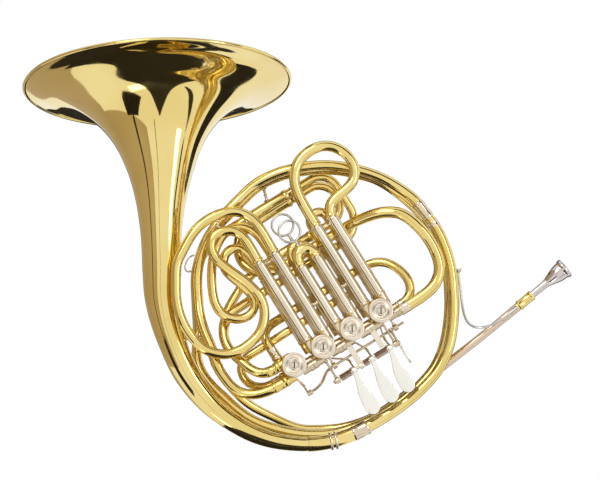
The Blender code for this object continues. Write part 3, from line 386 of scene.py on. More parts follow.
def mesh_of(work, name, finish):
    """Ends the work on a shape and gives it its finish."""
    mesh = bpy.data.meshes.new(name)
    work.to_mesh(mesh)
    work.free()
    mesh.materials.append(finish)
    return mesh


def stood(place, way):
    """Takes a shape drawn upright at the origin to `place`, upright along `way`."""
    return Matrix.Translation(place) @ Vector(way).to_track_quat("Z", "Y").to_matrix().to_4x4()


def lathe(profile, start, way, finish, steps=48):
    """Turns a profile of (radius, height) round the axis from `start`."""
    work = bmesh.new()
    corners = [work.verts.new((radius, 0, height)) for radius, height in profile]
    edges = [work.edges.new(pair) for pair in zip(corners, corners[1:])]
    bmesh.ops.spin(work, geom=corners + edges, cent=(0, 0, 0), axis=(0, 0, 1),
                   angle=2 * math.pi, steps=steps, use_merge=True)
    bmesh.ops.remove_doubles(work, verts=work.verts, dist=0.001)
    if profile[0][0] > 0 and profile[0] != profile[-1]:
        bmesh.ops.holes_fill(work, edges=work.edges, sides=0)
    bmesh.ops.recalc_face_normals(work, faces=work.faces)
    work.transform(stood(start, way))
    return mesh_of(work, "turned", finish)


def rod(start, end, radius, finish, chamfer=0.25, steps=32):
    """A solid round bar with chamfered ends."""
    start = Vector(start)
    way = Vector(end) - start
    length = way.length
    profile = [
        (0, length), (radius - chamfer, length), (radius, length - chamfer), (radius, chamfer),
        (radius - chamfer, 0), (0, 0)]
    return lathe(profile, start, way, finish, steps)


def pipe(start, end, outer, inner, finish, bead=0.0, steps=40):
    """An open pipe with a rolled bead at its far end."""
    start = Vector(start)
    way = Vector(end) - start
    length = way.length
    profile = [
        (inner, length - 0.2), (inner + 0.3, length), (outer + bead - 0.2, length),
        (outer + bead, length - 0.4), (outer + bead, length - 1.6), (outer, length - 2.1),
        (outer, 0.3), (outer - 0.3, 0), (inner, 0), (inner, length - 0.2)]
    return lathe(profile, start, way, finish, steps)


def plate(outline, thickness, middle, finish, bevel=0.4, crown=0.0):
    """A flat outline with softened edges, optionally domed along its middle."""
    work = bmesh.new()
    face = work.faces.new([work.verts.new((x, y, middle - thickness / 2)) for x, y in outline])
    grown = bmesh.ops.extrude_face_region(work, geom=[face])
    top = [item for item in grown["geom"] if isinstance(item, bmesh.types.BMVert)]
    bmesh.ops.translate(work, verts=top, vec=(0, 0, thickness))
    bmesh.ops.recalc_face_normals(work, faces=work.faces)
    rim = [edge for edge in work.edges if abs(edge.verts[0].co.z - edge.verts[1].co.z) < 1e-6]
    bmesh.ops.bevel(work, geom=rim, offset=bevel, segments=3, profile=0.5, affect="EDGES")
    if crown:
        centre = sum(point[0] for point in outline) / len(outline)
        half = max(abs(point[0] - centre) for point in outline)
        for vert in work.verts:
            share = min(1, abs(vert.co.x - centre) / half)
            vert.co.z -= crown * share * share
    return mesh_of(work, "plate", finish)


def united(name, meshes, body=BODY, nodes=None):
    """One piece from several meshes that stand in or against each other; it
    rides on its body and stands for the CAD nodes named, or for the one of its
    own name."""
    nodes = (name,) if nodes is None else nodes
    work = bmesh.new()
    finishes = []
    for mesh in meshes:
        offset = {}
        for index, material in enumerate(mesh.materials):
            if material not in finishes:
                finishes.append(material)
            offset[index] = finishes.index(material)
        before = len(work.faces)
        work.from_mesh(mesh)
        work.faces.ensure_lookup_table()
        for face in work.faces[before:]:
            face.material_index = offset[face.material_index]
            face.smooth = True
        bpy.data.meshes.remove(mesh)
    work.transform(HORN)
    mesh = bpy.data.meshes.new(name)
    work.to_mesh(mesh)
    work.free()
    for material in finishes:
        mesh.materials.append(material)
    mesh.set_sharp_from_angle(angle=math.radians(38))
    piece = added(name, mesh)
    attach(piece, body)
    if nodes:
        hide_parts(*nodes)


def run_in(place, way, radius, length=7.0):
    """The two points that start a tube square to the piece it meets."""
    way = Vector(way).normalized()
    return [(*(Vector(place) + way * distance), radius) for distance in (0.1, length)]


def run_out(place, way, radius, length=7.0):
    """The two points that end a tube square to the piece it meets."""
    return run_in(place, -Vector(way), radius, length)[::-1]


def arc(centre, radius, start, end, level, width, count=16):
    """Points of (x, y, z, radius) on part of a circle, from and to in degrees."""
    points = []
    for step in range(count + 1):
        angle = math.radians(start + (end - start) * step / count)
        points.append(Vector((centre[0] + radius * math.cos(angle),
                              centre[1] + radius * math.sin(angle), level, width)))
    return points


def wide(points, width):
    """Gives each point that names no radius this one."""
    return [(*point, width)[:4] for point in points]


def tube(name, width, points, collars, rounds=5, ferrules=NICKEL):
    """A brass tube, `width` in radius where its points name none, with a ferrule
    over each joint named in `collars`, as (start, end) in millimetres along it,
    counted from its end if negative."""
    line = relaxed(even(smooth(wide(points, width)), 3.5), rounds)
    meshes = [swept(line, BRASS)]
    for start, end in collars:
        meshes.append(widened(line, start, end, FERRULE if end - start > 6 else BEAD, ferrules))
    united(name, meshes)


def leg_row(valve, storey):
    """Where a slide's left and right leg stand along the valve row."""
    middle = VALVE_AT[valve] + LEG_SHIFT[storey]
    return middle - LEG_SPACING / 2, middle + LEG_SPACING / 2


def pull_ring(across, row, foot_row, level):
    """A wire ring with its foot, which is soldered to a slide's bow."""
    radius = 12.25
    ring = arc((across, row), radius, -90, 268, level, 1.3, 64)
    low = row - radius
    foot = [(across, at, level, width) for at, width in (
        (foot_row, 3.4), (foot_row + 2.0, 2.7), (foot_row + 4.0, 1.9),
        (low - 2.4, 1.7), (low - 0.8, 2.1), (low + 0.8, 1.6))]
    return [swept(ring + ring[:1], WIRE_SILVER, 16, False), swept(foot, WIRE_SILVER, 20)]


def valve_slide(valve, storey, bow, extra=(), rounds=4):
    """The drawn legs in nickel, the bow in brass, and a collar where they meet."""
    left, right = leg_row(valve, storey)
    level = LEVELS[storey]
    low = SLEEVE_END[storey][valve] - LEG_DEPTH[storey][valve]
    width = BOW_RADIUS[storey][valve]
    bow = [Vector((*point[:3], width)) for point in relaxed(even(bow, 3.0), rounds)]
    meshes = [swept(bow, BRASS)]
    for row, end in ((right, bow[0]), (left, bow[-1])):
        meshes.append(straight((row, low, level), (row, end.y, level), LEG_RADIUS, NICKEL))
    for start, end in ((0.2, 3.4), (-3.4, -0.2)):
        meshes.append(widened(bow, start, end, BEAD, BRASS))
    name = f"{'f' if storey == 'f' else 'b_flat'}_slide_{valve}"
    united(name, meshes + list(extra), name)


def round_bow(valve, storey, rows, turn_row):
    """Two straight stretches and the half circle between them."""
    left, right = leg_row(valve, storey)
    level = LEVELS[storey]
    turn = arc(((left + right) / 2, turn_row), LEG_SPACING / 2, 0, 180, level, LEG_RADIUS)
    return ([Vector((right, row, level, LEG_RADIUS)) for row in rows] + turn
            + [Vector((left, row, level, LEG_RADIUS)) for row in rows[::-1]])


def free_bow(valve, storey, foot, route):
    """A bow through measured points, from the right leg round to the left one."""
    left, right = leg_row(valve, storey)
    return smooth([(*point, LEVELS[storey], LEG_RADIUS)
                   for point in [(right, foot), *route, (left, foot)]])


def slides():
    """The six valve slides; their routes are measured along and across the row."""
    valve_slide(1, "f", free_bow(1, "f", 120, [
        (129.3, 130), (140, 135), (154, 136.5), (169, 141), (178, 154), (177, 174), (164, 191),
        (145, 196), (125, 191), (112, 177), (107, 158), (105.9, 140)]))
    valve_slide(2, "f", round_bow(2, "f", [91.0], 95.5), pull_ring(76.5, 130.5, 109.3, F_LEVEL), 0)
    valve_slide(3, "f", free_bow(3, "f", 120, [
        (50, 140), (50, 154), (48, 166), (42, 177), (31.5, 185.5), (18, 189.5), (3, 191),
        (-16, 187.5), (-35, 177.5), (-52, 166.5), (-63, 150.5), (-72.5, 134.5), (-79, 116.5),
        (-81.5, 97), (-77, 70.5), (-68.5, 58.5), (-58.5, 50.5), (-42.5, 46), (-28.5, 46.5),
        (-13.5, 50.5), (-1, 60.5), (6, 71.5), (9, 85.5), (5, 106.5), (-1.5, 122.5), (-8, 139.5),
        (-11, 151.5), (-9.5, 161.5), (-4, 169.5), (4.5, 172.5), (14, 170.5), (22, 166), (28, 156.5),
        (29.3, 143)]))
    valve_slide(1, "b", round_bow(1, "b", [96.0, 112.0], 122), rounds=0)
    valve_slide(2, "b", round_bow(2, "b", [77.0, 90.0], 102.5), pull_ring(75, 140.5, 116.2, B_LEVEL), 0)
    valve_slide(3, "b", free_bow(3, "b", 101, [
        (46, 130), (45, 147), (39, 159.5), (28, 167), (14, 167.5), (0, 161), (-13, 149.5),
        (-24, 134.5), (-33, 118), (-38, 103), (-35.5, 88), (-25, 76.5), (-12, 73), (-1, 78),
        (3.5, 88), (1.5, 100), (-3, 115), (-7, 127), (-6.5, 137.5), (1, 146.5), (11, 148.5),
        (21, 143), (25, 131)]))


def tuning_slide(name, upper, lower, level, bend, joint):
    """A tuning slide lies on its side: the bow, two legs, a ferrule over each joint."""
    ends = [Vector((98.0, row, level, LEG_RADIUS)) for row in (upper, lower)]
    meshes = [swept([ends[0], *bend, ends[1]], BRASS)]
    for row in (upper, lower):
        meshes.append(straight((58.0, row, level), (102.0, row, level), LEG_RADIUS, NICKEL))
        covered = [Vector((at, row, level, LEG_RADIUS)) for at in (joint, joint + 10.0)]
        meshes.append(widened(covered, 0.1, 9.9, FERRULE))
    united(name, meshes, name)


def tuning_slides():
    """Both tuning slides and the four outer sleeves they run in."""
    right, tight, easy = 153.0, 22, 30
    tuning_slide("main_tuning_slide", MAIN_UPPER, MAIN_LOWER, MAIN_LEVEL, [
        *arc((right - tight, MAIN_UPPER - tight), tight, 90, 0, MAIN_LEVEL, LEG_RADIUS, 14),
        *arc((right - easy, MAIN_LOWER + easy), easy, 0, -90, MAIN_LEVEL, LEG_RADIUS, 16)], 104.0)
    half = (INNER_UPPER - INNER_LOWER) / 2
    tuning_slide("f_tuning_slide", INNER_UPPER, INNER_LOWER, INNER_LEVEL, arc(
        (148.0 - half, INNER_LOWER + half), half, 90, -90, INNER_LEVEL, LEG_RADIUS, 28), 103.0)
    outer = 5.95
    for name, row, level in (("main_tuning_sleeve_upper", MAIN_UPPER, MAIN_LEVEL),
                             ("main_tuning_sleeve_lower", MAIN_LOWER, MAIN_LEVEL),
                             ("f_tuning_sleeve_upper", INNER_UPPER, INNER_LEVEL),
                             ("f_tuning_sleeve_lower", INNER_LOWER, INNER_LEVEL)):
        united(name, [
            pipe((TUNING_LEFT, row, level), (TUNING_RIGHT, row, level), outer, SLEEVE_BORE, BRASS, 0.3),
            *(collar((at, row, level), RIGHT, 5.0, outer, BRASS) for at in (TUNING_LEFT + 0.2, 94.6))])


FERRULE_START = (218.8, 81, 2)
FERRULE_END = (221.2, 59, 2)
FERRULE_WAY = (2.4, -22, 0)
TAIL_JOINT = ((-32, -86, 2), (-0.86, 0.51, 0))
BRANCH_START = (36, -105, 2)
BRANCH_WAY = Vector((1, -0.06, 0))
LEADPIPE_JOINT = ((-71.5, 45, -13.5), (0.03, 1, 0.1))
PORT = -VALVE_PITCH / 2
RIGHT_PORT = VALVE_AT[1] + VALVE_PITCH / 2


def ring_tubes():
    """The big ring: the first branch with its ferrule, and the second tube below it."""
    tube("first_branch_upper", 6, [
        *run_in((PORT, -11.5, F_LEVEL), LEFT, 5.8), (-43, -9.5, 15, 5.8), (-59, -3, 12, 5.8),
        (-70, 10, 8, 5.8), (-73.5, 28, 5, 5.8), (-73, 48, 3, 5.8), (-67, 66, 0, 5.8),
        (-65, 82, -4, 5.9), (-59, 103, -8.5, 5.9), (-50, 121, -12.5, 5.9), (-37, 143.5, -12.5),
        (-23.5, 158, -12.5), (-8, 170, -12.5), (8.5, 179, -12.5), (28, 186, -12.5),
        (48, 191, -12.5), (73, 196, -9), (94, 195, -4), (118, 189, 0), (153, 172, 2),
        (177, 152.5, 2), (193, 135, 2), (205, 117, 2), (213.5, 99, 2),
        *run_out(FERRULE_START, FERRULE_WAY, 6)], [(0.3, 14.0)], ferrules=BRASS)
    start = Vector((*FERRULE_START, 6.2))
    end = Vector((*FERRULE_END, 6.2))
    length = (end - start).length
    united("first_branch_ferrule", [
        widened([start, end], 0.2, length - 0.2, FERRULE, NICKEL, 40),
        swept([start.lerp(end, 0.01), start.lerp(end, 0.99)], NICKEL, 32)])
    tube("first_branch_lower", 6.5, [
        *run_in(FERRULE_END, FERRULE_WAY, 6), (221.5, 37, 2), (218, 17, 2), (212, -3, 2),
        (201, -25, 2), (188, -47, 2), (164, -76, 2, 6.3), (139, -93, 2, 6.0), (107, -102.5, 2, 6.1),
        (76, -106, 2, 6.4), (56, -106, 2, 6.7),
        *run_out(BRANCH_START, -BRANCH_WAY, 7)], [(4.0, 12.0)])
    tube("ring_second_tube", 6.1, [
        *run_in(*LEADPIPE_JOINT, 5.7), (-67, 66, -12.5), (-65, 82, -16.3), (-59, 103, -20.8),
        (-50, 121, -24.8), (-37, 143.5, -24.8), (-23.5, 158, -24.8), (-8, 170, -24.8),
        (8.5, 178, -24.8), (29, 182, -24.8), (49, 187, -24.8), (73, 192, -21.2), (94, 191, -16.3),
        (117, 185, -12), (152, 168, -11), (180, 144, -11), (195, 127, -11), (206, 105, -11),
        (215, 77, -11), (218, 60, -11), (217.5, 36, -11), (214, 16, -11), (209, -2, -11),
        (198, -24, -11), (185, -45, -11), (161, -73, -12), (137, -90, -12.5), (107, -99, -13),
        (76, -103, -13), (47, -102.5, -13.3), (19, -98, -14.5), (0, -92, -15.5), (-16, -84, -16),
        (-34, -71.5, -16), (-54, -52, -16), (-72, -28, -16), (-85, 10, -17), (-91, 40, -20),
        (-88, 60, -26), (-76, 78, -34), (-66, 92, -37), (-59, 105, -37.5), (-50, 121, -37.5),
        (-37, 143, -37.5), (-23, 157, -37.5), (-8, 164, -36), (6, 167, -31), (20, 167, -25),
        (32, 167, -22.6), *run_out((TUNING_LEFT, MAIN_UPPER, MAIN_LEVEL), RIGHT, 5.7)],
        [(0.4, 5.0), (-8.0, -0.4)])


def feed_tubes():
    """The tubes between the ring, the tuning slides and the valves."""
    tube("main_feed_tube", 5.5, [
        *run_in((TUNING_LEFT, MAIN_LOWER, MAIN_LEVEL), LEFT, 5.5), (20, MAIN_LOWER, MAIN_LEVEL),
        (-10, MAIN_LOWER, MAIN_LEVEL), (-30, 85, -19.5), (-44, 75, -13), (-51, 57, -4),
        (-48, 37, 5), (-43.5, 22, 11), (-36.5, 11.5, 15),
        *run_out((PORT, 7, F_LEVEL), RIGHT, 5.5)], [(0.4, 8.0), (-11.0, -0.4)], 3, BRASS)
    tube("f_feed_tube", 5.2, [
        *run_in((TUNING_LEFT, INNER_LOWER, INNER_LEVEL), LEFT, 5.2), (30, INNER_LOWER, INNER_LEVEL),
        (12, 109, -33), (-8, 101, -33), (-28, 90, -32.5), (-44, 75, -27), (-51, 57, -17.5),
        (-48, 37, -8), (-43.5, 22, -3.5), (-36.5, 11.5, -1.5),
        *run_out((PORT, 7, B_LEVEL), RIGHT, 5.2)],
        [(0.4, 8.0), (-11.0, -0.4)], 3, BRASS)
    tube("big_loop_tube", 5.9, [
        *run_in((TUNING_LEFT, INNER_UPPER, INNER_LEVEL), LEFT, 5.5), (27, 153, -30),
        (18, 141, -25.5), (15, 129, -20), (18, 117, -15.7), (28, 106.5, -14.2), (40, 101, -14.2),
        (52, 100, -14.2), (120, 100, -14.2), (135, 100, -9.5), (148, 99.5, -4.5, 6),
        (162, 97.5, 1, 6.5), (179, 92.5, 8, 6.7), (195, 81, 13, 6.7), (203, 62, 16, 6.7),
        (206.5, 40, 16, 6.7), (204.5, 17, 16, 6.7), (198, 2, 16, 6.7), (183, -9, 16, 6.7),
        (163, -12, 16, 6.7), (151, -12, 16, 6.7), *run_out((RIGHT_PORT, -12, F_LEVEL), LEFT, 6.3)],
        [(0.4, 8.0), (-12.0, -0.4)], rounds=3)
    tube("crossing_tube_long", 5.3, [
        *run_in((-10.4, 19.0, B_LEVEL), (0, 1, 0), 5.3, 9), (-10.4, 40, -4), (-5, 48, -10),
        (5, 51, -15), (16, 51, CROSSING_LEVEL), (110, 51, CROSSING_LEVEL),
        (124, 51, CROSSING_LEVEL), (137, 50, -16), (151, 44, -12), (160, 31, -7), (164, 13, -3),
        (159, -1, -1.5), (150, -6.5, -1), *run_out((RIGHT_PORT, -7.5, B_LEVEL), LEFT, 5.3)],
        [(0.4, 10.0), (-11.0, -0.4)], rounds=2)
    end_row = leg_row(1, "b")[0]
    tube("crossing_tube_short", 5, [
        *run_in((PORT, -7, B_LEVEL), LEFT, 5), (-36, -6, -2.5), (-46, -1, -8), (-53, 11, -17),
        (-51.5, 25, -20.5), (-43, 33, -19.5), (-30, 34, CROSSING_LEVEL), (0, 34, CROSSING_LEVEL),
        (85, 34, CROSSING_LEVEL), (94, 33.5, -17), (100, 30.5, -16.2),
        *run_out((end_row, 27, B_LEVEL - SLEEVE_RADIUS - 0.1), UP, 5, 5)],
        [(0.4, 10.0), (-4.0, -0.4)], rounds=2)


SHEET = 0.7
RIM_RADIUS = 154.4
RIM_WIRE = 2.1
CLAMP_PLACE = Vector((-6, -98, 2))


def sheet_of_rings(line, finish, steps):
    """A thin sheet swept along a line: its outer skin, its inner skin and the
    two edges that join them. The rings are turned as little as possible."""
    axes = []
    for index, point in enumerate(line):
        before = line[max(0, index - 1)].to_3d()
        after = line[min(len(line) - 1, index + 1)].to_3d()
        axes.append((after - before).normalized())
    across = axes[0].orthogonal().normalized()
    work = bmesh.new()
    skins = [[], []]
    for point, axis in zip(line, axes):
        across = (across - axis * across.dot(axis)).normalized()
        upward = axis.cross(across)
        for skin, inset in zip(skins, (0.0, SHEET)):
            ring = []
            for step in range(steps):
                angle = 2 * math.pi * step / steps
                place = across * math.cos(angle) + upward * math.sin(angle)
                ring.append(work.verts.new(point.to_3d() + place * (point[3] - inset)))
            skin.append(ring)
    loop = skins[0] + skins[1][::-1]
    for first, second in zip(loop, loop[1:] + loop[:1]):
        for step in range(steps):
            after = (step + 1) % steps
            work.faces.new((first[step], first[after], second[after], second[step]))
    bmesh.ops.recalc_face_normals(work, faces=work.faces)
    return mesh_of(work, "sheet", finish)


def bell():
    """Tail and flare are one sheet; the rim is rolled round a wire."""
    line = relaxed(smooth([
        *run_in(*TAIL_JOINT, 8.2), (-63, -62, 2, 9.2), (-80, -41, 1, 10.2), (-96, -10, 0, 11),
        (-104, 17, -2, 12.8), (-107, 57, -4, 14.8), (-102, 92, -6, 15.8), (-94, 121, -8, 17.8),
        (-83.5, 145, -10, 20), (-68, 169.5, -12, 22.2), (-50, 199.7, -14, 22.9),
        (-36, 222.5, -17.4, 25.7), (-25, 240, -21.3, 29.3), (-8, 267, -29, 38), (8, 294, -38, 51),
        (21, 316, -46, 69), (30.5, 332, -52, 90), (36.5, 342, -55.5, 112), (40.5, 348.8, -58, 136),
        (42.4, 352.0, -59.1, 152.0)], 3.2), 5)
    united("bell", [sheet_of_rings(line, BELL_BRASS, 112)], BODY, ("bell", "bell_tail"))
    mouth = line[-1].to_3d()
    way = (mouth - line[-3].to_3d()).normalized()
    section = []
    for step in range(20):
        angle = 2 * math.pi * step / 20
        section.append((RIM_RADIUS - RIM_WIRE + RIM_WIRE * math.cos(angle), RIM_WIRE * math.sin(angle)))
    united("bell_rim_wire", [lathe(section + section[:1], mouth + way * 0.9, way, BELL_BRASS, 144)])
    sleeve = relaxed(even(smooth([
        *run_in(BRANCH_START, -BRANCH_WAY, 8), (14, -102.8, 2, 8.2), (-6, -98, 2, 8.5),
        (-17, -93.7, 2, 8.7), *run_out(*TAIL_JOINT, 8.8)]), 2.0), 4)
    united("bell_tail_sleeve", [swept(sleeve, BRASS, 40),
                                widened(sleeve, 0.2, 19.0, FERRULE, SHADED_NICKEL, 48)])
    way = Vector((13, -5, 0)).normalized()
    ring = [(8.4, 0), (9.6, 0), (10.3, 0.5), (10.6, 1.5), (10.3, 2.5), (9.6, 3.0), (8.4, 3.0), (8.4, 0)]
    meshes = [lathe(ring, CLAMP_PLACE + way * shift, way, NICKEL, 56) for shift in (-4.4, 1.4)]
    side = way.cross(Vector(UP))
    for height in (6.8, -6.8):
        middle = CLAMP_PLACE - side * 5.2 + Vector((0, 0, height))
        meshes.append(rod(middle - way * 2.6, middle + way * 3.0, 1.3, SHADED_NICKEL, 0.3, 20))
    united("bell_tail_clamp", meshes)


MOUTH_START = Vector((233.0, -85.1, -25.0))
MOUTH_WAY = Vector((math.cos(math.radians(7.5)), math.sin(math.radians(7.5)), 0))


def rounded(points):
    """A profile of (radius, height) drawn as a fair curve."""
    return [tuple(point)[:2] for point in smooth([(*point, 0) for point in points], 0.7)]


def lead_parts():
    """The leadpipe: nickel where the hand leaves the ring, brass round the bow."""
    spacing = 3.0
    line = relaxed(even(smooth([
        (233.0, -85.1, -25, 4.6), (205, -88.5, -25, 4.7), (146, -94.5, -25, 4.7),
        (100, -98.5, -25, 4.75), (52, -100.6, -25, 4.9), (33, -98, -27, 5.0), (10, -91, -31.5, 5.0),
        (-10, -80, -35, 4.72), (-29, -67, -36, 4.72), (-46, -43.5, -34, 4.82),
        (-63, -15, -29, 5.15), (-70, 8, -22, 5.4), (-71.8, 27, -16.3, 5.4),
        *run_out(*LEADPIPE_JOINT, 5.4)]), spacing), 5)
    split = 46
    seam = split * spacing
    united("leadpipe", [swept(line[split:], BRASS), swept(line[:split + 1], ROSE_NICKEL),
                        widened(line, seam - 7, seam + 7, FERRULE), widened(line, -5.0, -0.4, BEAD)])
    sleeve = [
        (4.9, 22), (4.9, 44.6), (5.3, 45.2), (6.0, 44.8), (6.2, 43.8), (6.0, 42.8), (5.7, 42.3),
        (5.6, 27.6), (6.0, 27.0), (6.2, 26.0), (6.0, 25.0), (5.4, 24.4), (4.95, 24.2), (4.95, 23),
        (4.9, 22)]
    stem = [(3.6, 0.2), (4.7, 0.2), (4.75, 3.0), (4.95, 23.6), (4.7, 24.0), (3.6, 24.0), (3.6, 0.2)]
    place = MOUTH_START + MOUTH_WAY * 0.2
    united("mouthpiece_receiver", [lathe(sleeve, place, MOUTH_WAY, BRASS),
                                   lathe(stem, place, MOUTH_WAY, ROSE_NICKEL)])
    cup = rounded([
        (2.4, 52), (3.4, 55.2), (5.4, 58.4), (7.2, 62.4), (8.3, 66.2), (8.8, 68.2), (9.5, 69.4),
        (10.7, 69.8), (11.8, 69.1), (12.25, 67.6), (12.1, 65.9), (11.2, 64.6), (10.7, 63.2),
        (10.5, 60.5), (9.9, 56.5), (8.5, 51.5), (6.8, 46.5), (5.4, 42.6), (4.7, 39.2),
        (4.45, 35.5)])
    shank = [(4.4, 30.0), (4.1, 0.4), (3.8, 0.0), (3.0, 0.0), (2.9, 8.0), (2.4, 52)]
    mouthpiece = lathe(cup + shank, MOUTH_START + MOUTH_WAY * 25.3, MOUTH_WAY, SILVER, 64)
    united("mouthpiece", [mouthpiece], "mouthpiece")
    wire = relaxed(even(smooth(wide([
        (218.3, -7.5, 2), (215, -14.5, 2), (209.5, -27, 1), (202.5, -42, -1), (198, -54, -4),
        (196.5, -64, -8), (199.5, -73, -12), (207, -79.5, -15.5), (220, -83.3, -17),
        (237, -83.7, -17.1), (255, -81.6, -17.1)], 1.4), 3), 1.5), 6)
    foot = [(0, 2.6), (0.3, 2.4), (0.7, 1.5), (1, 0.1)]
    saddle = [(0, 0.05), (0.2, 0.5), (0.8, 0.5), (1, 0.3)]
    united("s_brace", [swept(wire, WIRE_SILVER, 20), widened(wire, 0.0, 5.0, foot, WIRE_SILVER, 24),
                       widened(wire, -14.0, -0.1, saddle, WIRE_SILVER, 24)])


def collar(start, way, length, radius, finish=NICKEL):
    """A beaded ring over a tube, as wide as `radius` inside."""
    start = Vector(start)
    end = start + Vector(way).normalized() * length
    line = [Vector((*start, radius)), Vector((*end, radius))]
    return swept(stretch(line, 0.01, length - 0.01, BEAD, 0.2), finish, 32)


def dumbbell(start, end, radius, finish=NICKEL):
    """A brace: a slim rod with a knob half way and a round flange at each end."""
    start = Vector(start)
    way = Vector(end) - start
    half = [(1.9, 0), (1.9, 0.7), (1.25, 1.3), (0.8, 2.4)]
    length = way.length
    knob = [(0.72, length / 2 - 1.2), (1.05, length / 2 - 0.6)]
    rising = [(0, 0)] + [(radius * share, height) for share, height in half + knob]
    falling = [(width, length - height) for width, height in rising[::-1]]
    return lathe((rising + falling)[::-1], start, way, finish, 28)


def ball(place, radius, finish, way=UP):
    """A ball with its poles along `way`."""
    count = 10
    profile = [(radius * math.sin(math.pi * step / count), radius * math.cos(math.pi * step / count))
               for step in range(1, count)]
    return lathe([(0, radius), *profile, (0, -radius)], place, way, finish, 28)


LEFT_PORTS = ((7.0, F_LEVEL, 5.5), (-11.5, F_LEVEL, 5.8), (7.0, B_LEVEL, 5.2), (-7.0, B_LEVEL, 5.2))
POST_AT = {1: 111.0, 2: 65.0, 3: 33.5}
THUMB_POST_AT = {1: 122.0, 3: 40.0}
SLOT_TURN = 1.01
FLUTES = 48
CRANK_ROW = -38.5
CRANK_LEVEL = -17.0


def screw_head(place, way, radius, finish):
    """A slotted screw: two half discs on a black shoulder, the slot between them; the shoulder's black
    is painted shade for the floor of the slot.
    """
    # The shoulder is near black: painted shade that stands for the dark floor of the slot.
    meshes = [lathe([(0, 0.5), (radius, 0.5), (radius, 0), (0, 0)], (0, 0, 0), UP, CORK_AND_PAINTED_SHADE, 24)]
    face = radius * 0.95
    gap = 0.22 * radius * 0.4
    for side in (1, -1):
        outline = []
        for step in range(13):
            angle = math.pi * step / 12 * 0.94 + 0.03 * math.pi
            outline.append((face * math.cos(angle), side * (face * math.sin(angle) + gap)))
        meshes.append(plate(outline[::side], 0.9, 0.8, finish, 0.12))
    for mesh in meshes:
        mesh.transform(stood(place, way) @ Matrix.Rotation(SLOT_TURN, 4, "Z"))
    return meshes


def flat_bar(at, end_row):
    """A flat nickel bar from the short tube between two valves to the hinge."""
    half, cut, start_row, pivot_row = 3.2, 0.8, -8.0, -12.0
    left = [(-half, start_row - cut), (-half, end_row + cut), (cut - half, end_row)]
    right = [(half - cut, end_row), (half, end_row + cut), (half, start_row - cut)]
    outline = left + right + [(half - cut, start_row), (cut - half, start_row)]
    bar = plate(outline, 2.4, 0, CAP_NICKEL)
    lean = -math.atan2(HINGE_LEVEL - F_LEVEL, pivot_row - HINGE_ROW)
    bar.transform(Matrix.Translation((at, pivot_row, 18.6)) @ Matrix.Rotation(lean, 4, "X")
                  @ Matrix.Translation((0, -pivot_row, 0)))
    return [bar, *screw_head((at, -14.5, 19.9), UP, 1.7, NICKEL)]


def eye(hinge, radius, bore, finish, steps=32):
    """A short pipe that the hinge rod runs through."""
    half = Vector((2.5, 0, 0))
    return pipe(hinge - half, hinge + half, radius, bore, finish, steps=steps)


def hinge_post(start, hinge, radius, bore):
    """A turned post with a knob at its foot and an eye for the rod."""
    way = (hinge - start).normalized()
    length = (hinge - start).length - radius + 0.6
    profile = [
        (0, length), (1.6, length), (1.5, length - 2.0), (1.15, length - 3.5),
        (1.15, length * 0.62), (1.9, length * 0.60), (1.9, length * 0.55), (1.25, length * 0.53),
        (1.3, 6.4), (2.2, 5.4), (2.6, 4.2), (2.2, 3.0), (1.7, 2.2), (1.9, 0), (0, 0)]
    return [lathe(profile, start, way, SHADED_NICKEL, 28), eye(hinge, radius, bore, SHADED_NICKEL)]


def casing(valve):
    """A valve's casing with the fixed parts soldered to it."""
    at = VALVE_AT[valve]
    inner = 11.5
    wall = [
        (inner, 26.0), (13.2, 26.0), (13.6, 25.7), (13.6, 24.4), (13.2, 24.0), (13.1, 8.5),
        (13.5, 8.2), (13.5, 6.8), (13.1, 6.5), (13.1, -7.6), (13.5, -8.0), (13.75, -8.4),
        (13.75, -10.4), (13.4, -10.9), (12.2, -10.95), (12.0, -10.4), (9.6, -10.4), (9.4, -10.95),
        (6.0, -11.0), (3.3, -11.0), (3.3, -8.5), (inner, -8.5), (inner, 26.0)]
    bearing = [
        (3.3, -11.0), (6.8, -11.0), (7.2, -11.4), (7.0, -12.6), (5.0, -12.9), (3.4, -12.9),
        (3.3, -11.0)]
    meshes = [lathe(wall, (at, 0, 0), UP, BRASS, 72), lathe(bearing, (at, 0, 0), UP, NICKEL, 40)]
    reach = VALVE_PITCH / 2 - 0.1
    for row, level, knuckle in ((-12.0, F_LEVEL, SHADED_NICKEL), (-7.5, B_LEVEL, BRASS)):
        for side in (1,) if valve == 4 else (1, -1):
            end = (at + side * reach, row, level)
            meshes.append(straight((at + side * 5, row, level), end, 4.9, knuckle, 32))
            inside = (at + side * (reach - 4.8), row, level)
            meshes.append(rod(end, inside, 5.7, SHADED_NICKEL, 0.3, 40))
    if valve == 4:
        for row, level, radius in LEFT_PORTS:
            meshes.append(straight((at - 5, row, level), (at - reach, row, level), radius, BRASS, 32))
            meshes.append(collar((at - reach, row, level), RIGHT, 5.6, radius + 0.05, BRASS))
        port = (at - LEG_SPACING / 2, 18.9, B_LEVEL)
        meshes.append(straight((port[0], 4, B_LEVEL), port, 5.4, BRASS, 32))
        meshes.append(collar(port, (0, -1, 0), 5.6, 5.45))
    else:
        meshes += sleeves(valve)
        meshes += hinge_side(valve)
    if valve in THUMB_POST_AT:
        post = THUMB_POST_AT[valve]
        meshes += hinge_post(Vector((post, -9, THUMB_LEVEL + 2)),
                             Vector((post, THUMB_ROW, THUMB_LEVEL)), 3.8, 1.9)
    for angle in (75, -75):
        across, row = at + 7.9 * math.cos(math.radians(angle)), 7.9 * math.sin(math.radians(angle))
        meshes.append(rod((across, row, -17.2), (across, row, -13.4), 1.7, CORK_AND_PAINTED_SHADE, 0.3, 20))
        meshes.append(rod((across, row, -13.6), (across, row, -10.9), 2.2, BRASS, 0.3, 24))
    united(f"valve_{valve}_casing", meshes)


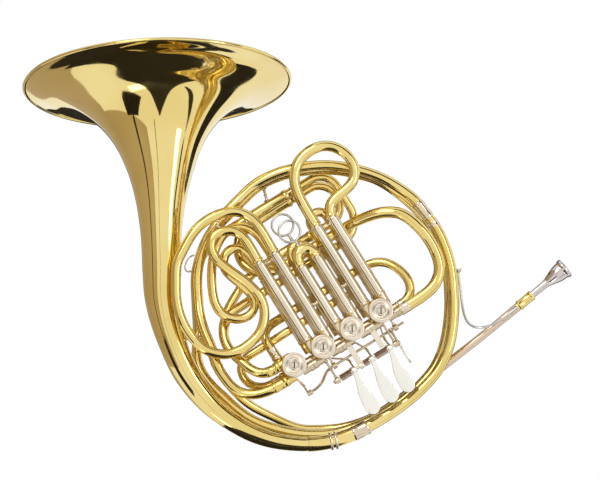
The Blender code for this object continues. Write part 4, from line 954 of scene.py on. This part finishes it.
def sleeves(valve):
    """The sleeves of both slides, and the brace between the upper two."""
    meshes = []
    for storey, level in LEVELS.items():
        low, high = leg_row(valve, storey)
        for row in (low, high):
            mouth = (row, SLEEVE_END[storey][valve], level)
            meshes += [straight((row, 1.5, level), (row, 16.5, level), 5.9, NICKEL, 32),
                       pipe((row, 16.0, level), mouth, 6.05, SLEEVE_BORE, NICKEL, 0.45),
                       collar((row, 14.0, level), (0, 1, 0), 4.0, 5.95)]
        if storey == "f" and valve != 2:
            meshes.append(dumbbell((low + 5.9, 113.5, level), (high - 5.9, 113.5, level), 1.6))
    return meshes


def hinge_side(valve):
    """What carries the finger levers' hinge at this valve."""
    hinge = Vector((POST_AT[valve], HINGE_ROW, HINGE_LEVEL))
    if valve == 2:
        return [*flat_bar(hinge.x, HINGE_ROW + 2.5), eye(hinge, 3.6, 2.0, NICKEL)]
    foot = Vector((POST_AT[valve], -9.0 if valve == 1 else -12.0, F_LEVEL))
    return hinge_post(foot, hinge, 3.6, 2.0) + (flat_bar(96.7, -36.5) if valve == 1 else [])


def rotor(valve):
    """A rotor with its shaft, its stop arm and the pin for the link rod."""
    at = VALVE_AT[valve]
    floor = CASING_BACK + 2.5
    plug = [
        (0, 24.4), (10.6, 24.4), (11.0, 24.0), (11.0, floor + 0.8), (10.6, floor + 0.4),
        (2.6, floor + 0.4), (2.6, STOP_TOP - 1), (0, STOP_TOP - 1)]
    low, high = STOP_TOP - 3.1, STOP_TOP - 0.2
    hub = 4.6
    outline = []
    for step in range(40):
        angle = 2 * math.pi * step / 40
        arm = max(0.0, math.cos(angle - math.radians(225))) ** 8
        lobe = max(0.0, math.cos(angle - math.radians(45))) ** 14
        width = hub + arm * (STOP_SIDE * math.sqrt(2) + 2.4 - hub) + lobe * 2.3
        outline.append((width * math.cos(angle), width * math.sin(angle)))
    stop = plate(outline, high - low, (low + high) / 2, NICKEL, 0.3)
    stop.transform(Matrix.Translation((at, 0, 0)))
    pin = (at - STOP_SIDE, -STOP_SIDE)
    name = f"valve_{valve}_rotor"
    united(name, [lathe(plug, (at, 0, 0), UP, NICKEL, 56), stop,
                  rod((*pin, low - 0.2), (*pin, high + 0.9), 2.2, NICKEL, 0.3, 28),
                  *screw_head((at, 0, low), DOWN, 2.6, SPRING_STEEL)], name)


def cap(valve):
    """A screw cap: knurled edge, turned rings, a fluted field and a slotted screw, with a black disc
    round the screw that paints the shade in the well.
    """
    base = CASING_FRONT + 0.3
    profile = [
        (0, 4.4), (4.9, 4.4), (5.0, 5.7), (5.2, 6.3), (5.6, 6.5), (6.0, 6.3), (6.2, 6.0),
        (6.6, 6.05), (7.2, 6.15), (8.4, 6.15), (9.6, 6.15), (10.6, 6.15), (11.2, 6.1), (11.4, 5.75),
        (11.7, 5.75), (11.9, 6.1), (12.4, 6.2), (13.0, 6.2), (13.5, 6.05), (13.9, 5.7), (14.1, 5.2),
        (14.1, 4.2), (14.1, 1.6), (14.1, 0.6), (13.7, 0), (0, 0)]
    mesh = lathe(profile, (0, 0, 0), UP, CAP_NICKEL, 192)
    for vert in mesh.vertices:
        radius = math.hypot(vert.co.x, vert.co.y)
        wave = math.cos(FLUTES * math.atan2(vert.co.y, vert.co.x))
        if 7.0 < radius < 10.8 and vert.co.z > 4:
            vert.co.z += 0.16 * wave
        if radius > 14.0 and 1.0 < vert.co.z < 5.6:
            share = 1 - 0.022 * max(0.0, wave)
            vert.co.x *= share
            vert.co.y *= share
    at = VALVE_AT[valve]
    mesh.transform(Matrix.Translation((at, 0, base)))
    # A black disc in the well round the screw: painted shade for the recess.
    painted_shade_well = lathe([(0, 0.9), (3.9, 0.9), (3.9, 0), (0, 0)], (at, 0, base + 3.9), UP, CORK_AND_PAINTED_SHADE, 40)
    united(f"valve_{valve}_cap", [mesh, painted_shade_well, *screw_head((at, 0, base + 4.3), UP, 3.6, CAP_NICKEL)])


def spatula(lever):
    """A slim neck that swells to a long round-ended touch-piece."""
    hub, tip = LEVER_AT[lever], TIP_AT[lever]
    neck_row, reach, round_end = -43.5, 53.0, 8.6
    sides = []
    for share, half in ((0.0, 2.9), (0.07, 2.9), (0.15, 3.1), (0.24, 3.7), (0.34, 4.7), (0.45, 5.9),
                        (0.56, 7.1), (0.68, 8.1), (0.80, 8.6)):
        sides.append((hub + (tip - hub) * min(1, share / 0.42), half, neck_row - share * reach))
    outline = [(middle + half, row) for middle, half, row in sides]
    for step in range(1, 16):
        angle = -math.pi * step / 16
        outline.append((tip + round_end * math.cos(angle), -88.0 + round_end * math.sin(angle)))
    return outline + [(middle - half, row) for middle, half, row in sides[::-1]]


def finger_lever(lever):
    """Touch-piece, hub, and the leg that hangs down to the link rod."""
    hub = LEVER_AT[lever]
    low = HINGE_LEVEL - LEVER_DROP
    leg = [(0, 29.5), (1.5, 29.5), (1.9, 28.0), (1.3, 26.0), (1.3, 4.0), (1.9, 2.6), (1.6, 0), (0, 0)]
    name = f"finger_lever_{lever}"
    united(name, [
        plate(spatula(lever)[::-1], 1.6, HINGE_LEVEL + 0.35, TOUCH_SILVER, 0.5, 0.5),
        eye(Vector((hub, HINGE_ROW, HINGE_LEVEL)), 3.6, 2.0, TOUCH_SILVER, 40),
        lathe(leg, (hub, HINGE_ROW, low + 1.5), UP, TOUCH_SILVER, 24),
        rod((hub - 1.9, HINGE_ROW, low), (hub + 1.9, HINGE_ROW, low), 2.9, TOUCH_SILVER, 0.4),
        *screw_head((hub - 1.9, HINGE_ROW, low), LEFT, 1.8, SPRING_STEEL)], name)


def link(name, valve, low, high, row, level):
    """A link rod: an eye at the lever, a bent wire, an eye under the stop arm."""
    middle = (low + high) / 2
    bend = row + 11
    end = Vector((VALVE_AT[valve] - STOP_SIDE, -STOP_SIDE, LINK_LEVEL))
    line = smooth(wide([
        (middle, row + 2.4, level - 0.6), (middle, row + 6, (level + LINK_LEVEL) / 2 - 0.7),
        (middle, bend, LINK_LEVEL), ((middle + end.x) / 2, (bend + end.y - 6) / 2, LINK_LEVEL),
        (end.x, end.y - 6, LINK_LEVEL), (end.x, end.y - 1.5, LINK_LEVEL)], 1.1), 1.2)
    united(name, [
        swept(line, SHADED_NICKEL, 20), rod((low, row, level), (high, row, level), 3.0, SHADED_NICKEL, 0.35),
        rod(end - Vector((0, 0, 1.3)), end + Vector((0, 0, 1.1)), 2.4, SHADED_NICKEL, 0.3, 28),
        widened(line, 7.0, 13.0, FERRULE, SHADED_NICKEL, 20),
        *screw_head(end - Vector((0, 0, 1.2)), DOWN, 1.6, SPRING_STEEL)], name)


def thumb_lever():
    """The long rod on two posts, its crank to the fourth valve, and the paddle."""
    at, row, level = 116.0, THUMB_ROW, THUMB_LEVEL
    crank = wide([
        (133, row, level), (90, row, level), (50, row, level), (37, row, level),
        (31, row - 0.5, level - 1), (25, -30.5, -3), (18, -36, -11), (9, CRANK_ROW, -16),
        (1.6, CRANK_ROW, CRANK_LEVEL)], 1.45)
    stem = [(0, 19.5), (1.6, 19.5), (1.9, 17.0), (1.5, 14.0), (1.5, 4.0), (2.4, 1.5), (2.4, -2.4),
            (0, -2.4)]
    outline = []
    for step in range(44):
        angle = 2 * math.pi * step / 44
        outline.append([math.copysign(half * abs(part) ** 0.62, part)
                        for half, part in ((13.9, math.cos(angle)), (10.4, math.sin(angle)))])
    paddle = plate(outline, 2.2, 0, TOUCH_SILVER, 0.7)
    quarter = math.radians(90)
    paddle.transform(Matrix.Translation((at, -56, level - 5.5)) @ Matrix.Rotation(quarter, 4, "Y")
                     @ Matrix.Rotation(quarter, 4, "Z"))
    united("thumb_lever", [
        swept(relaxed(even(smooth(crank), 1.5), 4), SHADED_NICKEL),
        lathe(stem, (at, row, level), (0, -18, -4), SHADED_NICKEL, 24),
        rod((1.4, CRANK_ROW, CRANK_LEVEL), (4.4, CRANK_ROW, CRANK_LEVEL), 3.0, SHADED_NICKEL, 0.4),
        paddle], "thumb_lever")


SPRINGS = {1: (84.0, 99.6, 12), 2: (68.7, 75.4, 5), 3: (37.6, 51.8, 11)}


def coil_spring(lever):
    """A spring wound round the hinge rod beside its lever."""
    low, high, curls = SPRINGS[lever]
    steps, radius = 28, 3.6
    coil = []
    for step in range(curls * steps + 1):
        turn = 2 * math.pi * step / steps
        coil.append(Vector((
            low + (high - low) * step / (curls * steps), HINGE_ROW + radius * math.cos(turn),
            HINGE_LEVEL + radius * math.sin(turn), 0.48)))
    coil = [coil[0] + Vector((0, 0, -3.0, 0))] + coil + [coil[-1] + Vector((0, 0, 3.0, 0))]
    united(f"lever_spring_{lever}", [swept(coil, SPRING_STEEL, 14)])


def action():
    """Levers, springs and link rods, and the braces between the sleeves."""
    start, end = (Vector((at, HINGE_ROW, HINGE_LEVEL)) for at in (29.5, 115.5))
    inset = Vector((0.8, 0, 0))
    united("lever_hinge_rod", [rod(start, end, 1.6, SHADED_NICKEL, 0.2),
                               ball(start + inset, 2.4, SHADED_NICKEL, RIGHT),
                               ball(end - inset, 2.4, SHADED_NICKEL, RIGHT)])
    for lever, hub in LEVER_AT.items():
        finger_lever(lever)
        link(f"link_rod_{lever}", lever, hub + 2.3, hub + 4.9, HINGE_ROW, HINGE_LEVEL - LEVER_DROP)
        coil_spring(lever)
    thumb_lever()
    link("link_rod_4", 4, -1.5, 1.1, CRANK_ROW, CRANK_LEVEL)
    for left, right in ((3, 2), (2, 1)):
        start = (leg_row(left, "f")[1] + 6.1, 45.5, F_LEVEL)
        end = (leg_row(right, "f")[0] - 6.1, 45.5, F_LEVEL)
        united(f"sleeve_brace_{left}_{right}", [dumbbell(start, end, 1.6)])


def details():
    """Small fittings that the solids leave out."""
    hook = relaxed(even(smooth(wide([
        (-28.0, 164.5, -11.0), (-33.0, 165.5, -8.5), (-40.0, 162.5, -8.0), (-45.0, 157.5, -8.0),
        (-45.2, 153.0, -8.0), (-41.5, 151.2, -8.0)], 0.9), 2), 1.0), 4)
    tip = ball(hook[-1].to_3d(), 1.3, WIRE_SILVER)
    united("wire_hook", [swept(hook, WIRE_SILVER, 16), tip], BODY, ())
    for name, start, end, radius, finish, body in (
            ("ring_strut", (80.2, 186.8, -20.4), (76.0, 172.6, -22.0), 2.0, SHADED_NICKEL, BODY),
            ("bell_strut", (-87.0, 89.0, -5.6), (-70.6, 84.0, -4.4), 1.6, NICKEL, BODY),
            ("f_slide_3_brace", (13.6, 184.9, F_LEVEL), (10.2, 177.2, F_LEVEL), 1.5, NICKEL,
             "f_slide_3")):
        united(name, [dumbbell(start, end, radius, finish)], body, ())


slides()
tuning_slides()
ring_tubes()
feed_tubes()
bell()
lead_parts()
for number in VALVE_AT:
    casing(number)
    rotor(number)
    cap(number)
action()
details()


TARGET = HORN @ Vector((82.8, 115.6, 0))
TILT = math.radians(32)
PICTURE_RIGHT = (ALONG * math.cos(TILT) - SLIDEWARD * math.sin(TILT)).normalized()
PICTURE_UP = (ALONG * math.sin(TILT) + SLIDEWARD * math.cos(TILT)).normalized()
DISTANCE = 6.0
PICTURE_WIDTH = 0.682


def look_from(place):
    """Turns a camera or a lamp at `place` to the horn, upright in the picture."""
    way = (TARGET - place).normalized()
    right = way.cross(PICTURE_UP).normalized()
    return Matrix.Translation(place) @ Matrix((right, right.cross(way), -way)).transposed().to_4x4()


def picture_place(right, up, forward):
    """A place by the picture: metres right, up and towards the camera."""
    return TARGET + PICTURE_RIGHT * right + PICTURE_UP * up + CAPWARD * forward


def camera():
    """A long lens, a little left of square to the valve caps."""
    data = bpy.data.cameras.new("camera")
    data.sensor_width = 36
    data.lens = 36 * DISTANCE / PICTURE_WIDTH
    data.clip_end = 50
    lens = added("camera", data)
    place = TARGET + (CAPWARD - PICTURE_RIGHT * 0.0785 - PICTURE_UP * 0.02).normalized() * DISTANCE
    lens.matrix_world = look_from(place)
    bpy.context.scene.camera = lens


def soft_light(name, place, width, height, power):
    """A soft box at a place by the picture."""
    data = bpy.data.lights.new(name, "AREA")
    data.shape = "RECTANGLE"
    data.size = width
    data.size_y = height
    data.energy = power
    added(name, data).matrix_world = look_from(picture_place(*place))


def card(name, places, faces=None, colour=(0.02, 0.016, 0.012)):
    """A card that the polished metal reflects and the camera doesn't see."""
    mesh = bpy.data.meshes.new(name)
    mesh.from_pydata([tuple(picture_place(*place)) for place in places], [],
                     faces or [tuple(range(len(places)))])
    mesh.materials.append(Finish(name, colour, 0.0, 0.9).material)
    piece = added(name, mesh)
    piece.visible_camera = False
    piece.visible_shadow = False
    piece.visible_diffuse = False


def facing_card(name, right, up, forward, width, height, **looks):
    """A card square to the line of sight."""
    card(name, [(right + x * width / 2, up + y * height / 2, forward)
                for x, y in ((-1, -1), (1, -1), (1, 1), (-1, 1))], **looks)


def side_card(name, right, ups, forwards, **looks):
    """An upright card beside the horn that faces it."""
    low, high = ups
    back, front = forwards
    card(name, [(right, low, back), (right, high, back), (right, high, front), (right, low, front)],
         **looks)


def dark_band(name, near, far, swell, turn, start, sweep):
    """A cone round the line of sight between two angles from it, in degrees,
    wider in some places than in others, so that every tube shows a dark line
    along each side."""
    places = []
    steps = 120
    for step in range(steps + 1):
        angle = math.radians(start + sweep * step / steps)
        wave = swell * math.cos(2 * angle + turn)
        for slant, reach in ((near - wave / 2, 0.95), (far + wave / 2, 1.15)):
            across = reach * math.sin(math.radians(slant))
            places.append((across * math.cos(angle), across * math.sin(angle),
                           reach * math.cos(math.radians(slant))))
    card(name, places, [(2 * step, 2 * step + 1, 2 * step + 3, 2 * step + 2) for step in range(steps)])


def studio():
    """A white room that lights softly, soft boxes, and what the metal reflects."""
    world = bpy.data.worlds.new("white_room")
    bpy.context.scene.world = world
    world.use_nodes = True
    tree = world.node_tree
    ground = tree.nodes["Background"]
    path = tree.nodes.new("ShaderNodeLightPath")
    seen = path.outputs["Is Camera Ray"]
    for other in ("Is Glossy Ray", "Is Transmission Ray"):
        either = tree.nodes.new("ShaderNodeMath")
        either.operation = "MAXIMUM"
        tree.links.new(seen, either.inputs[0])
        tree.links.new(path.outputs[other], either.inputs[1])
        seen = either.outputs[0]
    strength = tree.nodes.new("ShaderNodeMapRange")
    strength.inputs["To Min"].default_value = 0.5
    strength.inputs["To Max"].default_value = 1.0
    tree.links.new(seen, strength.inputs["Value"])
    tree.links.new(strength.outputs[0], ground.inputs["Strength"])
    ground.inputs["Color"].default_value = (1, 1, 1, 1)
    soft_light("key_box", (-0.9, 1.1, 1.5), 0.9, 1.3, 9)
    soft_light("fill_box", (1.3, 0.2, 1.3), 0.4, 1.4, 5)
    soft_light("low_box", (-0.3, -1.5, 0.9), 1.5, 0.4, 4)
    dark_band("side_band_right", 59, 68, 16, -1.75, -64, 229)
    dark_band("side_band_left", 62, 65, 0, 0, 165, 38)
    dark_band("side_band_low", 59, 68, 16, -1.75, 203, 22)
    dark_band("edge_low", 112, 134, 4, 0, -62, 60)
    dark_band("edge_band", 118, 136, 8, 2.2, 20, 140)
    card("card_low", [(right, -0.9, forward) for right, forward in (
        (-0.46, -1.3), (0.08, -1.3), (0.10, -0.6), (0.32, -0.55), (0.36, 0.1),
        (0.16, 1.1), (-0.08, 2.1), (-0.16, 2.1), (-0.36, 1.1), (-0.50, 0.1))])
    facing_card("card_under", -0.15, -0.05, -0.45, 0.3, 0.5)
    facing_card("warm_card", -1.0, -0.45, -0.8, 1.2, 1.3, colour=(0.72, 0.60, 0.46))
    side_card("tan_card", -1.3, (-0.7, 1.1), (-0.8, 1.9), colour=(0.80, 0.66, 0.50))
    side_card("line_card", -0.66, (-1.0, 1.2), (2.30, 2.62))


camera()
studio()
bpy.context.scene.view_settings.view_transform = "Standard"
